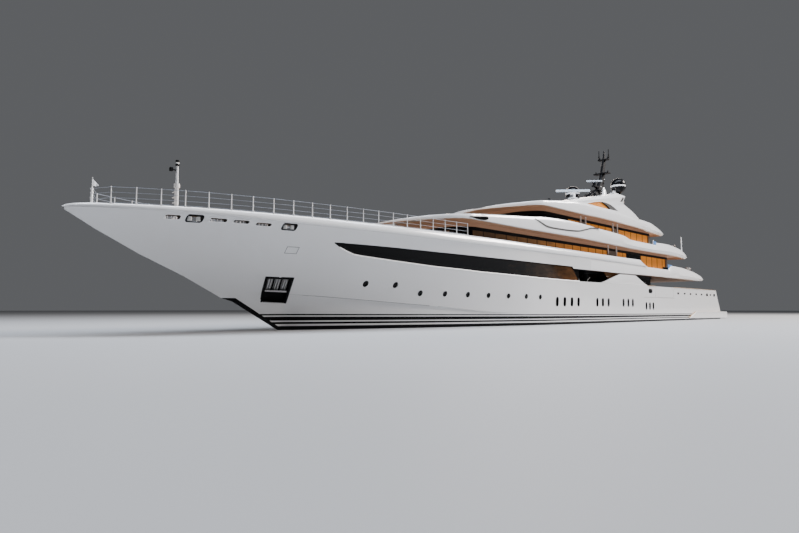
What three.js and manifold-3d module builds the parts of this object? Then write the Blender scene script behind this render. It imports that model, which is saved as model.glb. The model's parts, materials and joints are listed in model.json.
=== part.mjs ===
import * as THREE from "three";
import { mergeVertices } from "three/addons/utils/BufferGeometryUtils.js";
import Module from "manifold-3d";

const wasm = await Module();
wasm.setup();

// Scale and frame. Sizes below are full-size metres. A station is the distance aft of the bow tip.
// The model is 1:10, in millimetres, +X forward, +Y port, +Z up, with its origin at the waterline amidships.
const M = 100;
const MID = 43.75;
const GAP = 0.004;

// Deck heights above the waterline
const MAIN_FLOOR = 3.0;
const MAIN_BULWARK = 4.12;
const UPPER_FLOOR = 5.95;
const UPPER_SOFFIT = 5.42;
const BRIDGE_FLOOR = 8.78;
const BRIDGE_SOFFIT = 8.5;
const SUN_FLOOR = 11.55;
const SUN_SOFFIT = 11.22;

// Hull
const BEAM_HALF = 6.27;
const SHEER_REF = 6.8;
const HULL_END = 84.0;
const HULL_TOP_END = 45.0;
const TRANSOM_TOP_STATION = 82.0;
const TRANSOM_FOOT_HEIGHT = 1.11;
const BULWARK_THICK = 0.28;
const BOW_JOINT = 14;
const STERN_JOINT = 46;

const at = (s, y, z) => new THREE.Vector3((MID - s) * M, y * M, z * M);

// Straight interpolation in a table whose first column is the station
function lookup(table, s, column = 1) {
  if (s <= table[0][0]) return table[0][column];
  for (let i = 1; i < table.length; i++) {
    const [a, b] = [table[i - 1], table[i]];
    if (s <= b[0]) return a[column] + ((b[column] - a[column]) * (s - a[0])) / (b[0] - a[0]);
  }
  return table.at(-1)[column];
}

// Solids from meshes and back
function solid(geometry) {
  const bare = new THREE.BufferGeometry();
  bare.setAttribute("position", geometry.getAttribute("position").clone());
  if (geometry.index) bare.setIndex(geometry.index.clone());
  const merged = mergeVertices(bare, 1e-3);
  return new wasm.Manifold(
    new wasm.Mesh({
      numProp: 3,
      vertProperties: merged.attributes.position.array,
      triVerts: new Uint32Array(merged.index.array),
    }),
  );
}

function geometryOf(body) {
  const mesh = body.getMesh();
  const positions = new Float32Array(mesh.numVert * 3);
  for (let i = 0; i < mesh.numVert; i++)
    positions.set(mesh.vertProperties.subarray(i * mesh.numProp, i * mesh.numProp + 3), i * 3);
  const geometry = new THREE.BufferGeometry();
  geometry.setAttribute("position", new THREE.BufferAttribute(positions, 3));
  geometry.setIndex(new THREE.BufferAttribute(mesh.triVerts, 1));
  geometry.computeVertexNormals();
  return geometry;
}

const join = (bodies) => bodies.reduce((a, b) => a.add(b));
const cut = (body, tools) => tools.reduce((a, b) => a.subtract(b), body);

// Faces of a flat ring, in the ring's own turning sense
function capFaces(ring) {
  const normal = new THREE.Vector3();
  ring.forEach((p, i) => {
    const q = ring[(i + 1) % ring.length];
    normal.x += (p.y - q.y) * (p.z + q.z);
    normal.y += (p.z - q.z) * (p.x + q.x);
    normal.z += (p.x - q.x) * (p.y + q.y);
  });
  const size = [Math.abs(normal.x), Math.abs(normal.y), Math.abs(normal.z)];
  const axis = size.indexOf(Math.max(...size));
  const flat = ring.map((p) => {
    const c = p.toArray();
    return new THREE.Vector2(c[(axis + 1) % 3], c[(axis + 2) % 3]);
  });
  const faces = THREE.ShapeUtils.triangulateShape(flat, []);
  const covered = faces.reduce((sum, face) => sum + THREE.ShapeUtils.area(face.map((i) => flat[i])), 0);
  return covered * THREE.ShapeUtils.area(flat) > 0 ? faces : faces.map(([a, b, c]) => [a, c, b]);
}

// A skin through rings that hold equal numbers of points, closed at both ends
function loft(rings) {
  const count = rings[0].length;
  const faces = [];
  for (let r = 0; r + 1 < rings.length; r++) {
    for (let i = 0; i < count; i++) {
      const a = r * count + i;
      const b = r * count + ((i + 1) % count);
      faces.push([a, b, b + count], [a, b + count, a + count]);
    }
  }
  const last = (rings.length - 1) * count;
  capFaces(rings[0]).forEach(([a, b, c]) => faces.push([a, c, b]));
  capFaces(rings.at(-1)).forEach((face) => faces.push(face.map((i) => i + last)));
  const points = rings.flat();
  const volume = faces.reduce((sum, [a, b, c]) => {
    return sum + points[a].dot(new THREE.Vector3().crossVectors(points[b], points[c]));
  }, 0);
  const geometry = new THREE.BufferGeometry();
  const positions = points.flatMap((p) => p.toArray());
  geometry.setAttribute("position", new THREE.Float32BufferAttribute(positions, 3));
  geometry.setIndex(faces.flatMap(([a, b, c]) => (volume > 0 ? [a, b, c] : [a, c, b])));
  return solid(geometry);
}

// Blocks and prisms, all in stations and metres
const sidePrism = (outline, y0, y1) =>
  loft([y0, y1].map((y) => outline.map(([s, z]) => at(s, y, z))));
const planPrism = (outline, z0, z1) =>
  loft([z0, z1].map((z) => outline.map(([s, y]) => at(s, y, z))));
const block = (s0, s1, y0, y1, z0, z1) =>
  sidePrism([[s0, z0], [s1, z0], [s1, z1], [s0, z1]], y0, y1);

// A bar of round section between two points, with a radius at each end
function bar(from, to, r0, r1 = r0, sides = 8) {
  const axis = new THREE.Vector3().subVectors(to, from);
  const length = axis.length();
  const rod = new THREE.CylinderGeometry(r1 * M, r0 * M, length, sides);
  const turn = new THREE.Quaternion().setFromUnitVectors(new THREE.Vector3(0, 1, 0), axis.normalize());
  rod.applyQuaternion(turn);
  rod.translate((from.x + to.x) / 2, (from.y + to.y) / 2, (from.z + to.z) / 2);
  return solid(rod);
}

const mirrored = (body) => body.mirror([0, 1, 0]);

// Hull form
const PROFILE = [ // station, height of the stem or keel
  [0, 6.76], [1.61, 5.81], [3.98, 4.57], [6.59, 3.4], [8.99, 2.13], [9.75, 1.9], [13.11, 0],
  [14.6, -1.1], [16.2, -2.2], [18.5, -3.3], [22, -3.95], [28, -4.1], [60, -4.1], [66, -3.2],
  [70, -2.3], [74, -1.6], [78, -1.2], [84, -0.9],
];
const FORM = [ // station, waterline half-breadth, flare exponent, bilge fullness
  [0, 0, 1.05, 1.6], [5, 0, 1.2, 1.6], [13.11, 0, 1.4, 1.6], [14.6, 0.5, 1.42, 1.7], [16.2, 1.1, 1.45, 1.8],
  [20, 2.3, 1.5, 2.0], [25, 3.6, 1.55, 2.2], [30, 4.6, 1.5, 2.5], [36, 5.5, 1.4, 2.8], [44, 6.0, 1.3, 3.1],
  [54, 6.16, 1.2, 3.2], [66, 6.16, 1.2, 2.9], [78, 6.1, 1.2, 2.6], [84, 6.05, 1.2, 2.6],
];
const CAP_LOW = [ // station, height where the hull side meets the sheer cap
  [0, 6.83], [6.59, 6.76], [11.4, 6.64], [18.5, 6.59], [28, 6.5], [47, 6.47], [58.2, 6.33],
];
const CAP_DROP = 56.7;
const CAP_TOP = [[0, 7.06], [6, 7.12], [30, 7.14], [45, 7.06], [57, 7.05]];

const sheerHalf = (s) => BEAM_HALF * (1 - (1 - s / 90) ** 8.73) ** 0.86;

function hullHalf(s, z) {
  const keel = lookup(PROFILE, s);
  const waterline = lookup(FORM, s, 1);
  if (z < 0) {
    const depth = Math.min(1, z / keel);
    return waterline * (1 - depth ** lookup(FORM, s, 3)) ** (1 / lookup(FORM, s, 3));
  }
  const foot = Math.max(0, keel);
  const rise = Math.max(0, (z - foot) / (SHEER_REF - foot));
  return waterline + (sheerHalf(s) - waterline) * rise ** lookup(FORM, s, 2);
}

const HULL_STATIONS = [
  0.12, 0.7, 1.61, 2.7, 3.98, 5.3, 6.59, 8.99, 9.75, 11.4, 13.11, 14.6, 16.2, 18.5, 21, 24, 28, 33, 39, 46,
  54, 60, 66, 70, 74, 78, 81, 84,
];
const UNDER_STEPS = 6;
const TOPSIDE_STEPS = 6;

// One half section, from the keel up to the sheer, drawn in by an inset
function halfSection(s, inset) {
  const keel = lookup(PROFILE, s);
  const top = lookup(CAP_LOW, s) - GAP;
  const split = Math.max(0, keel) + Math.min(0.12, 0.3 * (top - Math.max(0, keel)));
  const points = [];
  for (let j = 1; j <= UNDER_STEPS; j++) {
    const turn = (j / UNDER_STEPS) * (Math.PI / 2);
    const z = split + (keel - split) * Math.cos(turn) ** (2 / lookup(FORM, s, 3));
    points.push([Math.max(0.01, hullHalf(s, z) - inset), z]);
  }
  for (let j = 1; j <= TOPSIDE_STEPS; j++) {
    const z = split + (top - split) * (j / TOPSIDE_STEPS);
    points.push([Math.max(0.01, hullHalf(s, z) - inset), z]);
  }
  return points;
}

const transomStation = (z) =>
  HULL_END - ((HULL_END - TRANSOM_TOP_STATION) * (z - TRANSOM_FOOT_HEIGHT)) / (MAIN_BULWARK - TRANSOM_FOOT_HEIGHT);

function hullSkin(inset) {
  const block = loft(
    HULL_STATIONS.map((s) => {
      const half = halfSection(s, inset);
      const port = half.map(([y, z]) => at(s, y, z));
      const starboard = half.map(([y, z]) => at(s, -y, z)).reverse();
      return [at(s, 0, lookup(PROFILE, s)), ...port, ...starboard];
    }),
  );
  const behindTransom = sidePrism([
    [HULL_END, TRANSOM_FOOT_HEIGHT], [HULL_END + 1, TRANSOM_FOOT_HEIGHT], [HULL_END + 1, SHEER_REF],
    [transomStation(SHEER_REF), SHEER_REF],
  ], -8, 8);
  return block.subtract(behindTransom);
}

// A well with sloping sides, cut down to a deck inside the hull's own sides
function well(stations, floor, top, side) {
  return loft(
    stations.map((s) => {
      const low = hullHalf(s, floor) - side;
      const high = hullHalf(s, Math.min(top, SHEER_REF)) - side;
      return [at(s, -high, top), at(s, -low, floor), at(s, low, floor), at(s, high, top)];
    }),
  );
}

// Window band in the topsides, forward point to slanted after edge
const BAND = [ // station, lower edge, upper edge
  [14.9, 5.66, 5.72], [15.7, 5.35, 5.71], [16.4, 5.12, 5.7], [17.9, 5.0, 5.68], [20.5, 4.82, 5.66],
  [23.6, 4.63, 5.6], [28.6, 4.41, 5.54], [36, 4.22, 5.48], [42.8, 4.14, 5.42],
];
const BAND_SLANT = 1.3;
const BAND_DEPTH = 0.09;

function bandOutline(margin) {
  const last = BAND.at(-1);
  const low = BAND.map(([s, z]) => [s, z + margin]);
  low[0][0] += 2 * margin;
  low.at(-1)[0] -= 2 * margin;
  const high = BAND.map(([s, , z]) => [s, z - margin]).reverse();
  high[0] = [last[0] - BAND_SLANT - margin, last[2] - margin];
  high.at(-1)[0] += 2 * margin;
  return [...low, ...high];
}

const FAIRLEADS = [ // station, length, height of the middle, opening height
  [4.9, 0.75, 6.5, 0.22], [6.0, 0.85, 6.48, 0.3], [7.2, 0.8, 6.48, 0.24], [8.45, 0.75, 6.48, 0.22],
  [11.25, 0.95, 6.4, 0.32],
];

// Anchor pocket: its four corners on the side view, and how deep it goes
const POCKET = [[11.35, 3.48], [13.2, 3.47], [13.3, 1.8], [11.55, 1.87]];
const POCKET_DEPTH = 0.55;
const pocketShift = (outline, margin) => {
  const cs = outline.reduce((sum, p) => sum + p[0], 0) / outline.length;
  const cz = outline.reduce((sum, p) => sum + p[1], 0) / outline.length;
  return outline.map(([s, z]) => [s - Math.sign(s - cs) * margin, z - Math.sign(z - cz) * margin]);
};

// Stern: beach club behind a raked door, and stairs at each side
const CLUB = { from: 77.4, half: 3.4, floor: 1.12, head: 2.72 };
const STAIR = { inner: 4.35, outer: 5.55, from: 80.6, steps: 8, top: MAIN_FLOOR, foot: 1.12 };
const DOOR_THICK = 0.14;
function stairCut(y0, y1) {
  const tread = (HULL_END + 0.2 - STAIR.from) / STAIR.steps;
  const rise = (STAIR.top - STAIR.foot) / STAIR.steps;
  const outline = [[STAIR.from, 6], [STAIR.from, STAIR.top]];
  for (let i = 0; i < STAIR.steps; i++) {
    const s = STAIR.from + i * tread;
    const z = STAIR.top - (i + 1) * rise;
    outline.push([s + 0.001, z], [s + tread, z]);
  }
  outline.push([HULL_END + 0.2, 6]);
  return sidePrism(outline, y0, y1);
}

// Folding doors in the main deck bulwark
const GATE = { from: 60.5, to: 66.1, low: 2.86, inner: 5.84 };
const DOOR_GAP = 0.05;

// Main deck side opening and saloon
const SALOON_HALF = 4.8;
const SALOON = { from: 46.2, to: 63.0 };
const UNDER_FASCIA = 5.3;

// Hubs under the hull for the fins and rudders
const FIN_ROOT = { s: 45.2, y: 5.22, z: -3.06, hub: -0.02 };
const SPAN = new THREE.Vector3(0, Math.SQRT1_2, -Math.SQRT1_2);
const alongSpan = (out) => at(FIN_ROOT.s, FIN_ROOT.y, FIN_ROOT.z).addScaledVector(SPAN, out * M);
const RUDDER = { s: 80.2, y: 2.75, hub: -1.25, top: -1.32, foot: -3.9 };

const hullBlank = hullSkin(0);
const hullInner = hullSkin(BAND_DEPTH);

function buildHull() {
  const afterTop = sidePrism(
    [[HULL_TOP_END, MAIN_BULWARK], [90, MAIN_BULWARK], [90, 9], [HULL_TOP_END, 9]], -8, 8);
  const sideOpening = [
    [BAND.at(-1)[0] - BAND_SLANT, UNDER_FASCIA], [BAND.at(-1)[0] + 0.05, MAIN_BULWARK],
    [HULL_TOP_END + 1, MAIN_BULWARK], [HULL_TOP_END + 1, UNDER_FASCIA],
  ];
  const sideDeck = block(43.1, HULL_TOP_END + 2, SALOON_HALF + 0.08, hullHalf(43.1, 3.4) - BULWARK_THICK,
    MAIN_FLOOR, UNDER_FASCIA);
  const openings = sidePrism(sideOpening, SALOON_HALF + 0.08, 8);
  const foreWell = well([2.6, 3.2, 4, 5.3, 7, 9, 12, 16, 21, 27, 34, 42, HULL_TOP_END + 1],
    UPPER_FLOOR, 7.3, BULWARK_THICK + 0.08);
  const mainWell = well([46, 54, 62, 70, 78, 81.6], MAIN_FLOOR, 6, BULWARK_THICK);
  const grooves = sidePrism(bandOutline(0), 0.5, 8).subtract(hullInner);
  const leads = FAIRLEADS.map(([s, length, z, height]) =>
    block(s - length / 2, s + length / 2, 0.6, 8, z - height / 2, z + height / 2));
  const pocket = sidePrism(POCKET, 0.01, 8).subtract(hullSkin(POCKET_DEPTH));
  const gate = block(GATE.from, GATE.to, GATE.inner, 8, GATE.low, MAIN_BULWARK + 1);
  const sides = join([sideDeck, openings, grooves, ...leads, pocket, gate,
    stairCut(STAIR.inner, STAIR.outer)]);
  const club = sidePrism(
    [[CLUB.from, CLUB.floor], [HULL_END + 1, CLUB.floor], [HULL_END + 1, CLUB.head], [CLUB.from, CLUB.head]],
    -CLUB.half, CLUB.half);
  const skeg = sidePrism([[58, -4.0], [62, -4.2], [76, -4.2], [77.2, -3.0], [78.2, -1.0], [60, -1.0]],
    -0.14, 0.14);
  const keelFlat = block(30, 58, -0.5, 0.5, -4.22, -3.6);
  const hubs = join([
    bar(alongSpan(-0.6), alongSpan(FIN_ROOT.hub), 0.3, 0.3, 12),
    bar(at(RUDDER.s, RUDDER.y, -0.8), at(RUDDER.s, RUDDER.y, RUDDER.hub), 0.22, 0.22, 12),
  ]);
  return cut(join([hullBlank, skeg, keelFlat, hubs, mirrored(hubs)]),
    [afterTop, foreWell, mainWell, sides, mirrored(sides), club]);
}

// Deck plates with a fascia, a bulwark and a stepped soffit
function deck(rows, floor, soffit, rim, lip) {
  return loft(
    rows.map(([s, half, low, top]) => {
      const inner = half - Math.min(rim, 0.45 * half);
      const under = half - Math.min(lip, 0.45 * half);
      const plate = Math.min(floor, top - 0.04);
      const head = Math.min(soffit, plate - 0.12);
      const port = [
        at(s, under, Math.max(head, low + 0.01)), at(s, half, low), at(s, half - 0.02, top),
        at(s, inner, top), at(s, inner - 0.01, plate),
      ];
      const starboard = port.map((p) => new THREE.Vector3(p.x, -p.y, p.z)).reverse();
      return [...port, ...starboard];
    }),
  );
}

const roundNose = (start, length, half, s) =>
  half * Math.sqrt(Math.max(0.0004, 1 - Math.max(0, 1 - (s - start) / length) ** 2));

const CAP_END = 58.2;
const UPPER_DECK = [ // station, half-breadth, lower edge, top edge or null under the sheer cap
  [HULL_TOP_END + GAP, 6.27, 5.3, null], [47, 6.27, 5.29, null], [52, 6.27, 5.28, null], [CAP_END, 6.27, 5.31, null],
  [65.3, 6.27, 5.3, 6.3], [65.7, 6.27, 5.3, 6.9], [69.2, 6.26, 5.3, 6.81], [71.3, 6.25, 5.31, 6.69],
  [74.5, 6.22, 5.32, 6.37], [76.6, 6.18, 5.33, 6.06], [77.7, 5.95, 5.36, 5.9], [78.4, 5.5, 5.4, 5.82],
  [78.9, 4.6, 5.44, 5.8], [79.1, 3.2, 5.46, 5.8],
];
const BRIDGE_NOSE = 22.4;
const BRIDGE_HALF = 6.08;
const BRIDGE_DECK = [ // station, half-breadth or null in the round nose, lower edge, top edge
  [22.45, null, 8.28, 8.42], [22.7, null, 8.26, 8.48], [23.3, null, 8.27, 8.56], [24.3, null, 8.32, 8.66],
  [26.2, null, 8.42, 8.82], [29, 6.08, 8.41, 9.08], [33.2, 6.08, 8.38, 9.42], [37.5, 6.08, 8.39, 9.5],
  [43.2, 6.08, 8.42, 9.45], [46.8, 6.08, 8.36, 9.4], [53.6, 6.08, 8.28, 9.3], [55.6, 6.08, 8.26, 9.23],
  [61.5, 6.08, 8.22, 9.21], [61.8, 6.08, 8.22, 9.53], [65.5, 6.08, 8.24, 9.57], [69.7, 6.05, 8.2, 9.27],
  [71.4, 5.98, 8.16, 8.98], [72.4, 5.75, 8.16, 8.76], [73, 5.2, 8.2, 8.68], [73.3, 4.2, 8.24, 8.66], [73.4, 3, 8.26, 8.66],
];
const SUN_NOSE = 34.85;
const SUN_HALF = 5.35;
const SUN_DECK = [
  [34.9, null, 10.92, 11.12], [35.2, null, 10.9, 11.18], [35.9, null, 10.92, 11.27], [37, null, 11.02, 11.42],
  [38.8, 5.35, 11.12, 11.66], [42, 5.35, 11.1, 12.05], [45, 5.35, 11.1, 12.32], [50, 5.35, 11.14, 12.28],
  [56, 5.33, 11.06, 12.16], [60.3, 5.3, 11.0, 12.12], [61.2, 5.3, 10.88, 12.1], [62.6, 5.28, 10.86, 12.06],
  [65, 5.2, 10.83, 11.7], [66.5, 5.05, 10.84, 11.44], [67.2, 4.75, 10.88, 11.34], [67.7, 4.1, 10.94, 11.32],
  [67.9, 3, 10.98, 11.32],
];
const withNose = (rows, nose, half, length) =>
  rows.map(([s, b, low, top]) => [s, b ?? roundNose(nose, length, half, s), low, top]);

// Sheer cap: a moulding on the hull's edge, open inside
function buildCap() {
  const stations = [...HULL_STATIONS.filter((s) => s < HULL_TOP_END), HULL_TOP_END, 47, 52, CAP_DROP, CAP_END];
  const outer = loft(stations.map((s) => {
    const half = sheerHalf(s);
    const low = lookup(CAP_LOW, s);
    const top = s > CAP_DROP ? low + 0.08 : lookup(CAP_TOP, s);
    const mid = (low + top) / 2;
    const port = [at(s, Math.max(0.02, half - 0.03), low), at(s, half + 0.05, mid), at(s, Math.max(0.015, half - 0.08), top)];
    return [...port, ...port.map((p) => new THREE.Vector3(p.x, -p.y, p.z)).reverse()];
  }));
  const inner = planPrism(insetPlan(1.9, 59, 0.42), 5, 8);
  return outer.subtract(inner);
}

function insetPlan(from, to, inset) {
  const steps = 14;
  const port = [];
  for (let i = 0; i <= steps; i++) {
    const s = from + (to - from) * (i / steps) ** 2;
    port.push([s, Math.max(0.1, sheerHalf(s) - inset)]);
  }
  return [...port, ...port.map(([s, y]) => [s, -y]).reverse()];
}

// Deckhouses: walls round a plan, with window openings cut and a glazing band inside
function housePlan({ from, to, half, nose }, inset) {
  const front = from + inset;
  const port = [[front, 0.35 * (half - inset)]];
  const steps = 4;
  for (let i = 1; i <= steps; i++) {
    const turn = (i / steps) * (Math.PI / 2);
    port.push([front + nose * (1 - Math.cos(turn)), (half - inset) * (0.35 + 0.65 * Math.sin(turn))]);
  }
  port.push([to - inset, half - inset]);
  return [...port, ...port.map(([s, y]) => [s, -y]).reverse()];
}

const LEAF = { back: 0.36, thick: 0.05, width: 1.45 };
const SCANNER_TURN = 133.5;
const WALL = 0.16;
const GLASS = 0.05;

const DOORWAY = { half: 1.35, height: 2.3 };
const doorway = (plan, floor) =>
  block(plan.to - 0.5, plan.to + 0.5, -DOORWAY.half, DOORWAY.half, floor - 0.2, floor + DOORWAY.height);

function house(plan, z0, z1, windows, sill, head) {
  const walls = planPrism(housePlan(plan, 0), z0 + GAP, z1 - GAP).subtract(
    planPrism(housePlan(plan, WALL), z0 - 1, z1 + 1));
  const openings = windows.map(([s0, s1]) => block(s0, s1, -9, 9, sill, head));
  const aft = [-1, 1].map((side) => block(plan.to - 0.5, plan.to + 0.5,
    side * (DOORWAY.half + 0.3), side * (plan.half - 0.5), sill, head));
  return cut(walls, [...openings, ...aft, doorway(plan, z0)]);
}

const glazing = (plan, floor, sill, head) =>
  planPrism(housePlan(plan, WALL + GAP), sill - 0.08, head + 0.08)
    .subtract(planPrism(housePlan(plan, WALL + GAP + GLASS), sill - 1, head + 1))
    .subtract(block(plan.to - 0.5, plan.to + 0.5, -DOORWAY.half, DOORWAY.half, floor, head + 1));

// Materials
const paint = (color, roughness, metalness = 0) => new THREE.MeshStandardMaterial({ color, roughness, metalness });
const WHITE = paint(0xf1f0ee, 0.22);
const TAUPE = paint(0x6d5a4b, 0.4);
const BLACK = paint(0x0a0a0c, 0.2);
const DARK_GLASS = paint(0x120d0b, 0.06);
const STEEL = paint(0xb9bbbd, 0.25, 1);
const BRONZE = paint(0xa9793c, 0.3, 1);
const ANTIFOUL = paint(0x16181c, 0.6);
const CLOTH = paint(0xe8e6e2, 0.9);

const yacht = new THREE.Group();
function add(name, body, material) {
  const mesh = new THREE.Mesh(geometryOf(body), material);
  mesh.name = name;
  yacht.add(mesh);
}
function addPair(name, body, material) {
  add(name + "_port", body, material);
  add(name + "_stbd", mirrored(body), material);
}

// The hull is welded up from three blocks
const hullBody = buildHull();
const hullBlock = (from, to) => hullBody.intersect(block(from, to, -8, 8, -6, 9));
add("hull_bow", hullBlock(-1, BOW_JOINT - GAP / 2), WHITE);
add("hull_midships", hullBlock(BOW_JOINT + GAP / 2, STERN_JOINT - GAP / 2), WHITE);
add("hull_stern", hullBlock(STERN_JOINT + GAP / 2, HULL_END + 2), WHITE);
add("sheer_cap", buildCap(), WHITE);
addPair("window_band",
  sidePrism(bandOutline(0.02), 0.6, 8).intersect(hullBlank.subtract(hullSkin(BAND_DEPTH - 0.005))), DARK_GLASS);

// Anchor pocket liner: a ribbed plate at the back of the pocket
const pocketRibs = [11.75, 12.05, 12.35, 12.65, 12.95].map((s) => block(s - 0.05, s + 0.05, -1, 8, 2.55, 3.4));
const linerSkin = (a, b) => hullSkin(a).subtract(hullSkin(b));
addPair("anchor_pocket_liner",
  join([
    sidePrism(pocketShift(POCKET, 0.03), 0.02, 8).intersect(linerSkin(POCKET_DEPTH - 0.06, POCKET_DEPTH - 0.01)),
    join(pocketRibs).intersect(sidePrism(pocketShift(POCKET, 0.05), 0.02, 8))
      .intersect(linerSkin(POCKET_DEPTH - 0.2, POCKET_DEPTH - 0.03)),
  ]), BLACK);

// Decks
const SOFFIT_LIP = 0.8;
const upperRows = UPPER_DECK.map(([s, half, low, top]) => [s, half, low, top ?? lookup(CAP_LOW, s) - GAP]);
add("upper_deck", deck(upperRows, UPPER_FLOOR, UPPER_SOFFIT, 0.34, SOFFIT_LIP), WHITE);
const HOOD = [ // station, half-breadth, crown height, foot height
  [22.9, 1.9, 8.52, 8.42], [23.8, 3.4, 8.72, 8.46], [24.8, 4.3, 8.95, 8.5], [26.2, 5.1, 9.24, 8.55],
  [27.7, 5.5, 9.44, 8.6], [28.5, 5.6, 9.42, 8.6], [28.9, 5.6, 8.8, 8.6],
];
const hood = loft(HOOD.map(([s, half, crown, foot]) => [
  at(s, -half, foot), at(s, half, foot), at(s, 0.72 * half, foot + 0.72 * (crown - foot)), at(s, 0.35 * half, crown - 0.03),
  at(s, -0.35 * half, crown - 0.03), at(s, -0.72 * half, foot + 0.72 * (crown - foot)),
]));
add("bridge_deck", deck(withNose(BRIDGE_DECK, BRIDGE_NOSE, BRIDGE_HALF, 4.5), BRIDGE_FLOOR, BRIDGE_SOFFIT, 0.34,
  SOFFIT_LIP).add(hood), WHITE);
add("sun_deck", deck(withNose(SUN_DECK, SUN_NOSE, SUN_HALF, 3.6), SUN_FLOOR, SUN_SOFFIT, 0.34, SOFFIT_LIP), WHITE);

// Bridge bulwark panels, set on the fascia behind a groove
const onBridgeRim = (s) => [s, lookup(BRIDGE_DECK, s, 3)];
const BRIDGE_PANEL = [
  ...[35.3, 37.5, 43.2, 46.8, 53.6, 54].map(onBridgeRim), [54.05, 9.58], [51.2, 9.62], [46.9, 9.64],
  [44.6, 9.88], [41.6, 9.92], [39.5, 9.83],
];
addPair("bridge_bulwark", sidePrism(BRIDGE_PANEL.map(([s, z]) => [s, z + GAP]), BRIDGE_HALF - 0.3, BRIDGE_HALF - 0.03), WHITE);

// Deckhouses
const MAIN_HOUSE = { from: SALOON.from, to: SALOON.to, half: SALOON_HALF, nose: 0.4 };
const UPPER_HOUSE = { from: 26.9, to: 68.6, half: 4.62, nose: 2.2 };
const BRIDGE_HOUSE = { from: 38.2, to: 62.5, half: 4.3, nose: 2.0 };
add("main_house", house(MAIN_HOUSE, MAIN_FLOOR, UPPER_SOFFIT, [[48, 51.5], [52, 56.5], [57, 62]], 3.35, 5.15), TAUPE);
add("main_glazing", glazing(MAIN_HOUSE, MAIN_FLOOR, 3.35, 5.15), DARK_GLASS);
add("upper_house", house(UPPER_HOUSE, UPPER_FLOOR, BRIDGE_SOFFIT,
  [[26, 27.3], [28.0, 28.9], [29.2, 34.5], [34.7, 40], [40.2, 45.5], [45.7, 51], [53, 54.9], [55.3, 59], [59.3, 63.4],
    [63.6, 67.6]], 6.35, 8.16), TAUPE);
add("upper_glazing", glazing(UPPER_HOUSE, UPPER_FLOOR, 6.35, 8.16), DARK_GLASS);
add("bridge_house", house(BRIDGE_HOUSE, BRIDGE_FLOOR, SUN_SOFFIT,
  [[37, 38.9], [39.4, 40.6], [40.9, 46], [46.9, 53.3], [54.5, 58], [58.2, 61.7]], 9.2, 10.94), TAUPE);
add("bridge_glazing", glazing(BRIDGE_HOUSE, BRIDGE_FLOOR, 9.2, 10.94), DARK_GLASS);

// Bulwark wings and side panes between the main bulwark and the upper deck
addPair("bulwark_wing", sidePrism(
  [[47.4, MAIN_BULWARK + GAP], [51.4, 5.18], [55.3, 5.2], [58.4, MAIN_BULWARK + GAP]], 5.95, 6.17), WHITE);
addPair("side_pane", sidePrism([[47.4, 5.385], [48, 4.74], [48.6, 4.68], [51.0, 5.385]], 5.6, 5.66), DARK_GLASS);

// Arch fins, hardtop and casing
const FIN = [
  [44.2, 12.36], [45.4, 12.6], [46.6, 13.05], [48.4, 13.4], [53.2, 14.42], [55.1, 14.7], [57, 14.67], [56.5, 13.87],
  [60.7, 12.6], [62.2, 12.1], [56, 12.18], [50, 12.3],
];
const FIN_WINDOW = [[48.1, 12.62], [50.9, 13.22], [52.7, 13.34], [54.9, 12.75], [53.1, 12.72]];
const FIN_OUT = 4.95;
const FIN_IN = 4.65;
addPair("arch_fin", sidePrism(FIN.map(([s, z]) => [s, z + GAP]), FIN_IN, FIN_OUT + 0.35)
  .subtract(sidePrism(FIN_WINDOW, 4, 6)), WHITE);
const hardtopPrism = (grow) => sidePrism(
  [[46.4, 12.78], [48.4, 13.2], [53.2, 14.2], [55.1, 14.46], [61.2, 14.5], [61.2, 14.72 + grow], [55.1, 14.72 + grow],
    [53.2, 14.46 + grow], [48.4, 13.4 + grow], [46.4, 12.86 + grow]], -FIN_IN + GAP, FIN_IN - GAP);
add("hardtop", hardtopPrism(0), WHITE);
const CASING = [[50.5, 13.637], [53.2, 14.2], [55.1, 14.46], [58.6, 14.485]];
add("casing", sidePrism([
  [CASING[0][0], SUN_FLOOR + GAP], ...CASING.map(([s, z]) => [s, z - 2 * GAP]), [CASING.at(-1)[0], SUN_FLOOR + GAP],
], -2.4, 2.4), WHITE);

// Aft doors of the saloons, two sliding leaves each, inside the glazing
function leaf(houseEnd, floor, soffit) {
  const s = houseEnd - LEAF.back;
  return block(s - LEAF.thick, s, DOOR_GAP / 2, DOOR_GAP / 2 + LEAF.width, floor + 2 * GAP, soffit - 2 * GAP);
}
addPair("main_saloon_door", leaf(SALOON.to, MAIN_FLOOR, UPPER_SOFFIT), DARK_GLASS);
addPair("upper_saloon_door", leaf(UPPER_HOUSE.to, UPPER_FLOOR, BRIDGE_SOFFIT), DARK_GLASS);

// Masts, radars and domes
const HARDTOP_TOP = 14.72;
const MAST = [ // height, fore edge station, aft edge station, half width
  [HARDTOP_TOP + GAP, 55.7, 59.4, 0.5], [15.6, 56.7, 59.6, 0.4], [16.6, 58.9, 60.1, 0.28], [18.2, 60.0, 60.9, 0.2],
  [21.2, 61.0, 61.4, 0.12], [21.7, 61.12, 61.32, 0.08],
];
const mastLoft = (grow) => loft(MAST.map(([z, fore, aft, half]) => [
  at(fore - grow, -half - grow, z), at(fore - grow, half + grow, z), at(aft + grow, half + grow, z), at(aft + grow, -half - grow, z),
]));
const SCANNER_X = { s: 58.35, z: 17.36, half: 0.98 };
const SCANNER_S = { s: 53.0, z: 15.3, half: 2.0 };
const upright = (s, y, z0, z1, r0, r1 = r0, sides = 10) => bar(at(s, y, z0), at(s, y, z1), r0, r1, sides);
const yard = (s, z) => join([
  block(s - 0.3, s + 0.3, -1, 1, z - 0.07, z + 0.07),
  upright(s, 0.94, z, z + 1.6, 0.05), upright(s, -0.94, z, z + 1.6, 0.05),
]);
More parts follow.
